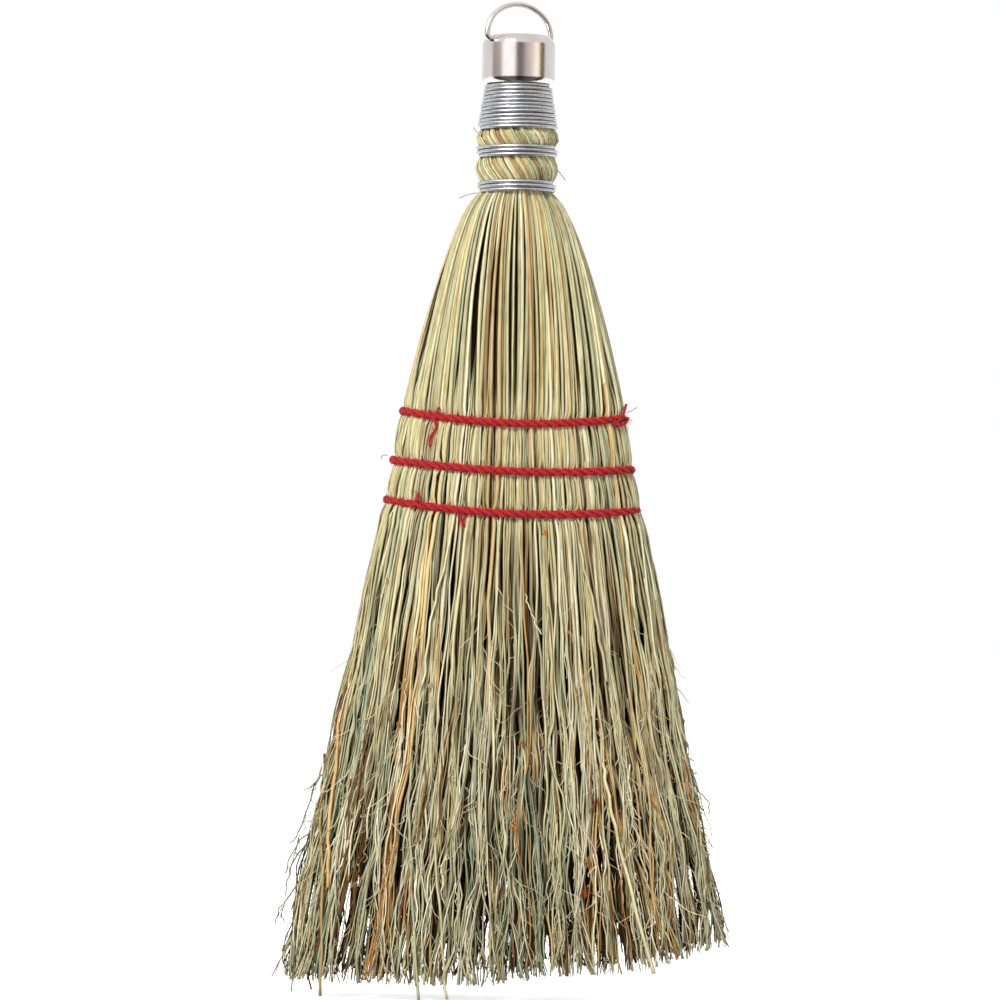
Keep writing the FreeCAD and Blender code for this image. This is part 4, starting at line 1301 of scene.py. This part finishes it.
def loop_points(row, count):
    """Points at equal steps once round a row, and the way out at each."""
    z = ROW_HEIGHT[row]
    wide, deep = half_sizes(np.array(z))
    angle = np.linspace(0, 2 * math.pi, LOOP_STEPS)
    power = 2 / FACE_SQUARENESS
    x = (wide - EDGE_DRAW[row]) * signed_power(np.cos(angle), power)
    y = (deep + TWINE_OUT) * signed_power(np.sin(angle), power)
    length = np.concatenate([[0], np.cumsum(np.hypot(np.diff(x), np.diff(y)))])
    at = np.linspace(0, length[-1], count)
    x, y = np.interp(at, length, x), np.interp(at, length, y)
    out = unit(np.stack([np.gradient(y, at), -np.gradient(x, at), 0 * x], -1))
    x = x + middle_x(z)
    return np.stack([x, y, row_height(row, x)], -1), out


def transported(line):
    """Two directions across a line that turn as little as they can along it."""
    way = unit(np.gradient(line, axis=0))
    sides = [unit(np.cross(way[0], PLY_UP))]
    for step in way[1:]:
        sides.append(unit(sides[-1] - step * np.dot(sides[-1], step)))
    sides = np.array(sides)
    return sides, np.cross(way, sides)


def plied(rng, line, radius, middle):
    """A twine's plies, twisted about its own line, with painted shade where they face the middle of its
    row.
    """
    side, other = transported(line)
    along = np.concatenate([[0], np.cumsum(np.linalg.norm(np.diff(line, axis=0), axis=1))])
    paths = []
    for k in range(PLIES):
        turn = 2 * math.pi * (along / PLY_LENGTH + k / PLIES)
        offset = side * np.cos(turn)[:, None] + other * np.sin(turn)[:, None]
        paths.append(line + offset * radius * PLY_OFFSET)
    paths = np.array(paths)
    thick = radius * PLY_GIRTH * rng.normal(1, PLY_UNEVEN, paths.shape[:2])
    tint = mix(RED, DARK_RED, rng.random((*paths.shape[:2], 1)) * PLY_DARK)
    return tube_group(paths, thick, PLY_SIDES, tint, up=PLY_UP, out=unit(paths - middle))


def fluff(rng, line, count, reach):
    """Short loose fibres that stand off a twine."""
    start = line[rng.integers(0, len(line), count)]
    way = unit(rng.normal(0, 1, (count, 3)))
    curl = rng.normal(0, FLUFF_CURL, (count, 3))
    t = np.linspace(0, 1, FLUFF_LEVELS)[None, :, None]
    size = rng.uniform(*FLUFF_SHARE, count)[:, None, None] * reach
    hairs = start[:, None] + size * (way[:, None] * t + curl[:, None] * t**2)
    tint = mix(RED, PALE_RED, rng.random((count, 1, 1))) + 0 * hairs
    return tube_group(hairs, np.full(hairs.shape[:2], FLUFF_RADIUS), FLUFF_SIDES, tint)


def strand_line(row, turns, phase):
    """A strand of a row: so many turns round the brush, winding about the row's middle line."""
    loop, out = loop_points(row, TWINE_LEVELS)
    points = np.concatenate([loop[:-1]] * turns + [loop[-1:]])
    outs = np.concatenate([out[:-1]] * turns + [out[-1:]])
    turn = 2 * math.pi * (TWINE_TWISTS * np.arange(len(points)) / (TWINE_LEVELS - 1) + phase)
    swing = outs * np.sin(turn)[:, None] + np.array(UP) * np.cos(turn)[:, None]
    return points + swing * TWINE_SWING, points


def stitch_group(row):
    """A row's stitches where they pass through the straw, from face to face."""
    t = np.linspace(-1, 1, STITCH_LEVELS)[:, None]
    runs = []
    for k in range(1, FACE_BUNDLES):
        place = np.array(float(FACE_BUNDLES + 1 + k))
        x, y, _ = outline(place, np.array(ROW_HEIGHT[row]), STITCH_END)
        runs.append(np.array([x, 0, row_height(row, x)]) + np.array([0, y, 0]) * t)
    runs = np.array(runs)
    radius = np.full(runs.shape[:2], STITCH_RADIUS)
    return tube_group(runs, radius, STITCH_SIDES, DARK_RED + 0 * runs, up=UP)


def dress_twine():
    rng = np.random.default_rng(SEED + 2)
    material = twine_material()
    for row in ROWS:
        for kind, turns, phase in STRANDS:
            line, middle = strand_line(row, turns, phase)
            groups = [plied(rng, line, TWINE_RADIUS, middle), fluff(rng, line, *ROW_FLUFF)]
            tails = TWINE_TAILS[row] if kind == "turns" else ()
            for corners in tails:
                end = face_line(corners, TAIL_LIFT)
                groups += [plied(rng, end, TAIL_RADIUS, end), fluff(rng, end, *TAIL_FLUFF)]
            if kind == "stitches":
                groups.append(stitch_group(row))
            piece = make_piece(f"{row}_sewing_{kind}", groups, material)
            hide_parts(f"{row}_twine_{kind}")
            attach(piece, "broom")


def dress_metal():
    for node, metal in METALS.items():
        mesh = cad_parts[node].data
        mesh.materials.clear()
        mesh.materials.append(nickel_material(*metal))


def place_camera():
    data = bpy.data.cameras.new("camera")
    data.sensor_width = SENSOR
    data.lens = SENSOR * CAMERA_DISTANCE / FRAME_HEIGHT
    camera = add_object("camera", data)
    camera.location = (CAMERA_X, -CAMERA_DISTANCE, CAMERA_Z)
    camera.rotation_euler = (math.pi / 2, CAMERA_ROLL, 0)
    bpy.context.scene.camera = camera


def add_lamp(name, place, size, power, colour, mirrored):
    """A soft square lamp that faces the middle of the broom."""
    data = bpy.data.lights.new(name, "AREA")
    data.size = size
    data.energy = power
    data.color = colour
    light = add_object(name, data)
    light.location = place
    light.visible_glossy = mirrored
    aim = np.array((0.0, 0.0, CAMERA_Z)) - np.array(place)
    flat = math.hypot(aim[0], aim[1])
    light.rotation_euler = (math.pi / 2 + math.atan2(aim[2], flat), 0, math.atan2(-aim[0], aim[1]))


def background_rays(tree):
    """1 for rays from the camera and for mirrored or refracted ones."""
    rays = add_node(tree, "LightPath", {})
    total = rays["Is Camera Ray"]
    for name in ("Is Glossy Ray", "Is Transmission Ray"):
        total = add_node(tree, "Math", {0: total, 1: rays[name]}, operation="MAXIMUM")[0]
    return total


def light_scene():
    """A world that is white to the camera and soft light to the broom, and the lamps."""
    world = bpy.data.worlds.new("studio")
    bpy.context.scene.world = world
    world.use_nodes = True
    tree = world.node_tree
    tree.nodes.clear()
    soft = add_node(tree, "Background", {"Color": SOFT_COLOUR, "Strength": SOFT_STRENGTH})
    white = add_node(tree, "Background", {"Color": WHITE, "Strength": 1.0})
    inputs = {"Fac": background_rays(tree), 1: soft["Background"], 2: white["Background"]}
    shown = add_node(tree, "MixShader", inputs)["Shader"]
    add_node(tree, "OutputWorld", {"Surface": shown})
    for lamp in LAMPS:
        add_lamp(*lamp)


def stage_floor():
    """A pale floor that stays white to the camera and keeps the broom's shadow."""
    size = FLOOR_HALF_WIDTH
    mesh = bpy.data.meshes.new("floor")
    corners = [(-size, -size, 0), (size, -size, 0), (size, size, 0), (-size, size, 0)]
    mesh.from_pydata(corners, [], [(0, 1, 2, 3)])
    floor = add_object("floor", mesh)
    material, tree, shader = new_material("floor")
    looks = {"Base Color": FLOOR_COLOUR, "Roughness": FLOOR_ROUGHNESS, "Specular IOR Level": 0.0}
    set_inputs(tree, shader, looks)
    inputs = {0: background_rays(tree), 1: FLOOR_LIFT}
    lift = add_node(tree, "Math", inputs, operation="MULTIPLY")[0]
    glow = add_node(tree, "Emission", {"Strength": lift})["Emission"]
    both = add_node(tree, "AddShader", {0: shader.outputs["BSDF"], 1: glow})["Shader"]
    set_inputs(tree, tree.nodes["Material Output"], {"Surface": both})
    mesh.materials.append(material)


def reflector_mesh():
    """A half round wall and the apron below it, with the way round and the light of each point."""
    profile = (
        (REFLECTOR_RADIUS, REFLECTOR_TOP, 1.0),
        (REFLECTOR_RADIUS, APRON_HEIGHT, 1.0),
        (REFLECTOR_RADIUS, APRON_HEIGHT, 0.0),
        (APRON_RADIUS, APRON_HEIGHT, 0.0),
    )
    points, shares, lit = [], [], []
    for radius, z, level in profile:
        for share in np.linspace(0, 1, REFLECTOR_STEPS + 1):
            angle = math.pi * (1 + share)
            points.append((radius * math.cos(angle), radius * math.sin(angle), z))
            shares.append(share)
            lit.append(level)
    faces = []
    for row in (0, 2):
        first = row * (REFLECTOR_STEPS + 1)
        for k in range(first, first + REFLECTOR_STEPS):
            faces.append((k, k + 1, k + REFLECTOR_STEPS + 2, k + REFLECTOR_STEPS + 1))
    mesh = bpy.data.meshes.new("reflector")
    mesh.from_pydata(points, [], faces)
    for name, values in (("turn", shares), ("lit", lit)):
        mesh.attributes.new(name, "FLOAT", "POINT").data.foreach_set("value", values)
    return mesh


def stage_reflector():
    """A half round of dim studio wall with two bright panels, seen only in polished metal."""
    mesh = reflector_mesh()
    wall = add_object("reflector", mesh)
    material, tree, _ = new_material("reflector")
    panels = ramp(tree, attribute(tree, "turn", "Fac"), *REFLECTOR_STOPS)
    apron = ramp(tree, attribute(tree, "lit", "Fac"), (0.0, APRON_LIGHT), (1.0, 1.0))
    glow = add_node(tree, "Emission", {"Color": multiplied(tree, panels, apron)})["Emission"]
    set_inputs(tree, tree.nodes["Material Output"], {"Surface": glow})
    mesh.materials.append(material)
    wall.visible_camera = False
    wall.visible_diffuse = False
    wall.visible_transmission = False
    wall.visible_shadow = False


bpy.context.scene.view_settings.view_transform = "Standard"
straw = straw_material()
dress_straw(straw)
dress_loose_bits(straw)
dress_wires()
dress_twine()
dress_metal()
place_camera()
light_scene()
stage_floor()
stage_reflector()
